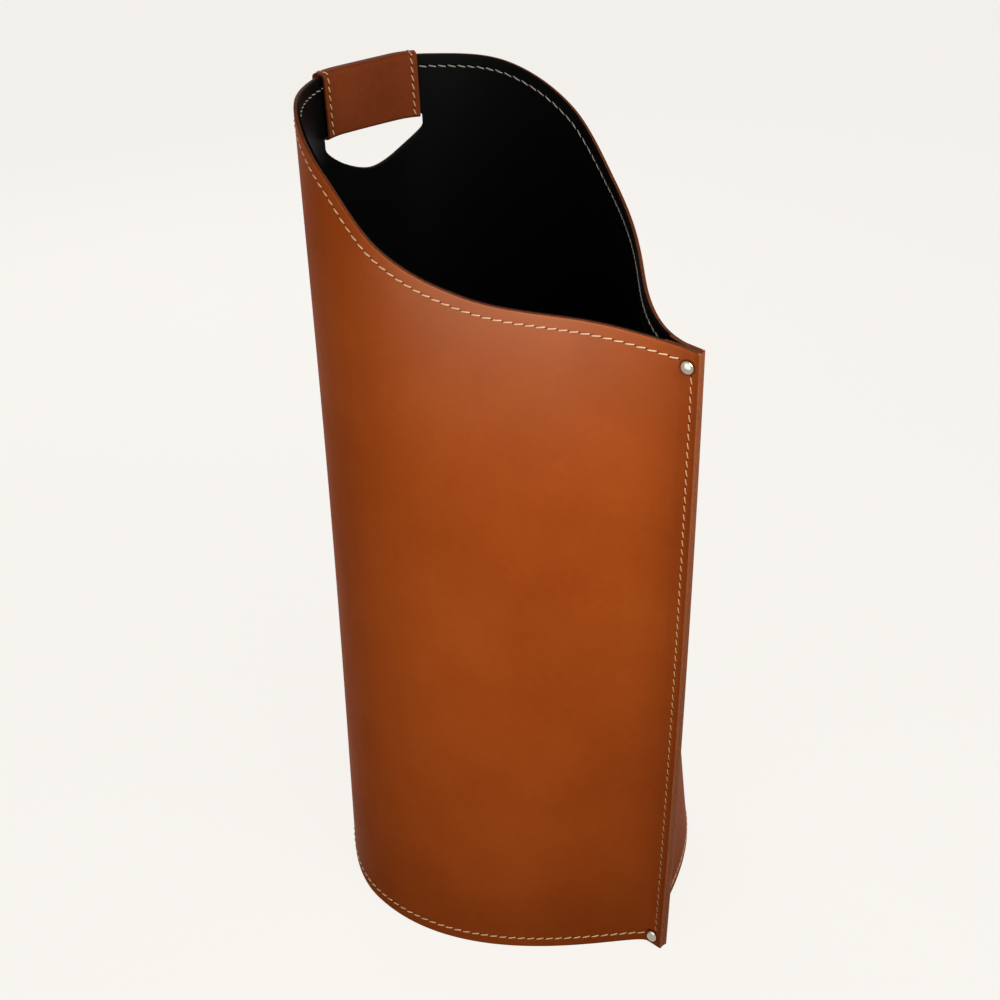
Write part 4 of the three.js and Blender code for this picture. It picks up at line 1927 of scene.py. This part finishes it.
@dataclass(frozen=True)
class FloorPaper(Finish):
    """Matt studio paper.

    The eye sees the backdrop's own colour, with the bag's shadow on it. What it throws back on the bag
    is the bounce's grey.
    """

    name: str = "pale_floor_paper"
    colour: str = "#F7F4EF"
    bounce: str = "#5E5C59"
    lit_share: float = 0.05
    light_level: float = 0.62

    def shade(self, node: MakeNode) -> Node:
        """Build the paper's nodes.

        Args:
            node: Adds a node to the material.

        Returns:
            The paper's shader.
        """
        pale = linear(self.colour)
        lit = (*(channel * self.lit_share / self.light_level for channel in pale[:3]), 1.0)
        glow = node("Emission", {"Color": pale, "Strength": 1.0 - self.lit_share})
        paper = node("AddShader", [glow, node("BsdfDiffuse", {"Color": lit})])
        bounce = node("BsdfDiffuse", {"Color": linear(self.bounce)})
        return node("MixShader", [shown_background(node), bounce, paper])


@dataclass
class SoftBox:
    """A square soft light that hangs on one side of the bag and faces it."""

    name: str
    azimuth: float
    distance: float
    height: float
    size: float
    power: float

    def place(self, target: Vector) -> None:
        """Hang the light.

        Args:
            target: The place that it is turned to.
        """
        azimuth = math.radians(self.azimuth)
        data = bpy.data.lights.new(self.name, "AREA")
        data.shape = "SQUARE"
        data.size, data.energy = self.size, self.power
        lamp = bpy.data.objects.new(self.name, data)
        lamp.location = (self.distance * math.sin(azimuth), -self.distance * math.cos(azimuth), self.height)
        lamp.rotation_euler = (target - lamp.location).to_track_quat("-Z", "Y").to_euler()
        lamp.visible_camera = False
        bpy.context.scene.collection.objects.link(lamp)


@dataclass
class Studio:
    """The pale floor, the soft lights and the camera."""

    paper: FloorPaper = FloorPaper()
    floor_size: float = 12.0
    ambient: float = 0.15
    lit_point: Vector = field(default_factory=lambda: Vector((0.0, 0.0, 280 * MM)))
    target: Vector = field(default_factory=lambda: Vector((-20.696 * MM, -7.753 * MM, 319.235 * MM)))
    azimuth: float = -37.114
    elevation: float = 31.123
    distance: float = 1353.497 * MM
    roll: float = -0.223
    lens: float = 67.357
    sensor: float = 36.0
    lights: tuple[SoftBox, ...] = (
        SoftBox("left_softbox", azimuth=-60, distance=0.6, height=0.5, size=0.6, power=2.15),
        SoftBox("front_softbox", azimuth=0, distance=0.6, height=0.9, size=0.6, power=4.5),
        SoftBox("right_softbox", azimuth=75, distance=1.4, height=1.0, size=0.8, power=2),
        SoftBox("back_softbox", azimuth=165, distance=1.3, height=0.9, size=0.8, power=8),
    )

    def build_world(self) -> None:
        """Surround the bag with the backdrop's colour, and light it dimly from all round."""
        world = bpy.data.worlds.new("studio_surround")
        node = empty_tree(world)
        around = node("Background", {"Color": linear("#FFFFFF"), "Strength": self.ambient})
        backdrop = node("Background", {"Color": linear(self.paper.colour), "Strength": 1.0})
        node("OutputWorld", {"Surface": node("MixShader", [shown_background(node), around, backdrop])})
        bpy.context.scene.world = world

    def build_floor(self) -> None:
        """Lay the pale floor, which shows the backdrop's colour and keeps the bag's shadow."""
        shape = bmesh.new()
        bmesh.ops.create_grid(shape, x_segments=1, y_segments=1, size=self.floor_size / 2)
        mesh = bpy.data.meshes.new("studio_floor")
        shape.to_mesh(mesh)
        shape.free()
        mesh.materials.append(self.paper.material())
        floor = bpy.data.objects.new("studio_floor", mesh)
        bpy.context.scene.collection.objects.link(floor)

    def build_camera(self) -> None:
        """Set the camera at the photograph's angle."""
        azimuth, elevation, roll = (math.radians(a) for a in (self.azimuth, self.elevation, self.roll))
        back = Vector((math.sin(azimuth) * math.cos(elevation), -math.cos(azimuth) * math.cos(elevation),
                       math.sin(elevation)))
        level = Vector((math.cos(azimuth), math.sin(azimuth), 0.0))
        upright = back.cross(level)
        right = level * math.cos(roll) + upright * math.sin(roll)
        up = back.cross(right)
        data = bpy.data.cameras.new("photograph_camera")
        data.lens, data.sensor_width = self.lens, self.sensor
        camera = bpy.data.objects.new("photograph_camera", data)
        turn = Matrix((right, up, back)).transposed().to_4x4()
        camera.matrix_world = Matrix.Translation(self.target + back * self.distance) @ turn
        bpy.context.scene.collection.objects.link(camera)
        bpy.context.scene.camera = camera

    def build(self) -> None:
        """Set up the whole studio."""
        self.build_world()
        self.build_floor()
        self.build_camera()
        for light in self.lights:
            light.place(self.lit_point)
        bpy.context.scene.view_settings.view_transform = "Standard"


# The whole bag


@dataclass
class PelletBag:
    """The whole bag: two plies of wall, the handle's sleeve, the stitching, the base and two rivets."""

    wall: BagWall = BagWall()
    hole: HandHole = HandHole()
    finishes: BagFinishes = BagFinishes()
    lining_shift: float = 0.1 * MM
    lining_swelling: float = 0.25 * MM
    lining_lower_edge: float = 0.5 * MM
    lining_outer_round: float = 0.2 * MM
    lining_inner_round: float = 0.3 * MM

    def plies(self, work: ThreadWork) -> list[WallPly]:
        """Lay out the wall's two plies.

        Args:
            work: The stitching, which marks them.

        Returns:
            The outer ply and the lining.
        """
        wall, finishes = self.wall, self.finishes
        rim = StitchLine("rim", work.rim_inset, work.rim_row())
        base = StitchLine("blank", work.base_height, work.base_row())
        seam_run = wall.half_run - work.seam_inset
        seam = StitchLine("blank", seam_run, work.seam_row(), axes="YX", mirrored=True)
        rivet_run = wall.half_run - work.rivet_inset
        wear = PaintedLightAndOil(wall.half_run, rivet_run, work.rivet_heights, work.rivet_radius)
        outer = replace(finishes.outer, stitches=(rim, base, seam), wear=wear)
        lining = replace(finishes.lining, stitches=(rim,))
        outer_parts = (outer, finishes.edge, finishes.black_edge, finishes.seam_edge, finishes.edge)
        lining_parts = (lining, finishes.black_edge, finishes.black_edge, finishes.seam_edge, finishes.edge)
        return [
            WallPly(wall, self.hole, "outer_shell", 0.0, wall.outer_leather, 0.0, Slot.COGNAC,
                    dict(zip(WallPart, outer_parts, strict=True))),
            WallPly(wall, self.hole, "lining_shell", wall.outer_leather + self.lining_shift,
                    wall.lining_leather + self.lining_swelling, self.lining_lower_edge, Slot.BLACK,
                    dict(zip(WallPart, lining_parts, strict=True)),
                    outer_round=self.lining_outer_round, inner_round=self.lining_inner_round),
        ]

    def dress(self) -> None:
        """Build and finish every piece of the bag in order."""
        sleeve = HandleSleeve(self.wall, self.hole, self.finishes)
        work = ThreadWork(self.wall, self.hole, sleeve, self.finishes)
        rivets = [SeamRivet(self.wall, name, height, self.finishes.nickel)
                  for name, height in zip(("top", "bottom"), work.rivet_heights, strict=True)]
        base = BaseStack(self.wall, self.finishes)
        for part in (*self.plies(work), sleeve, work, base, *rivets):
            part.dress()


def main() -> None:
    """Build the bag in its studio."""
    logging.basicConfig(level=logging.INFO, format="%(message)s")
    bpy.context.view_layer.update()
    PelletBag().dress()
    Studio().build()


if __name__ == "__main__":
    main()
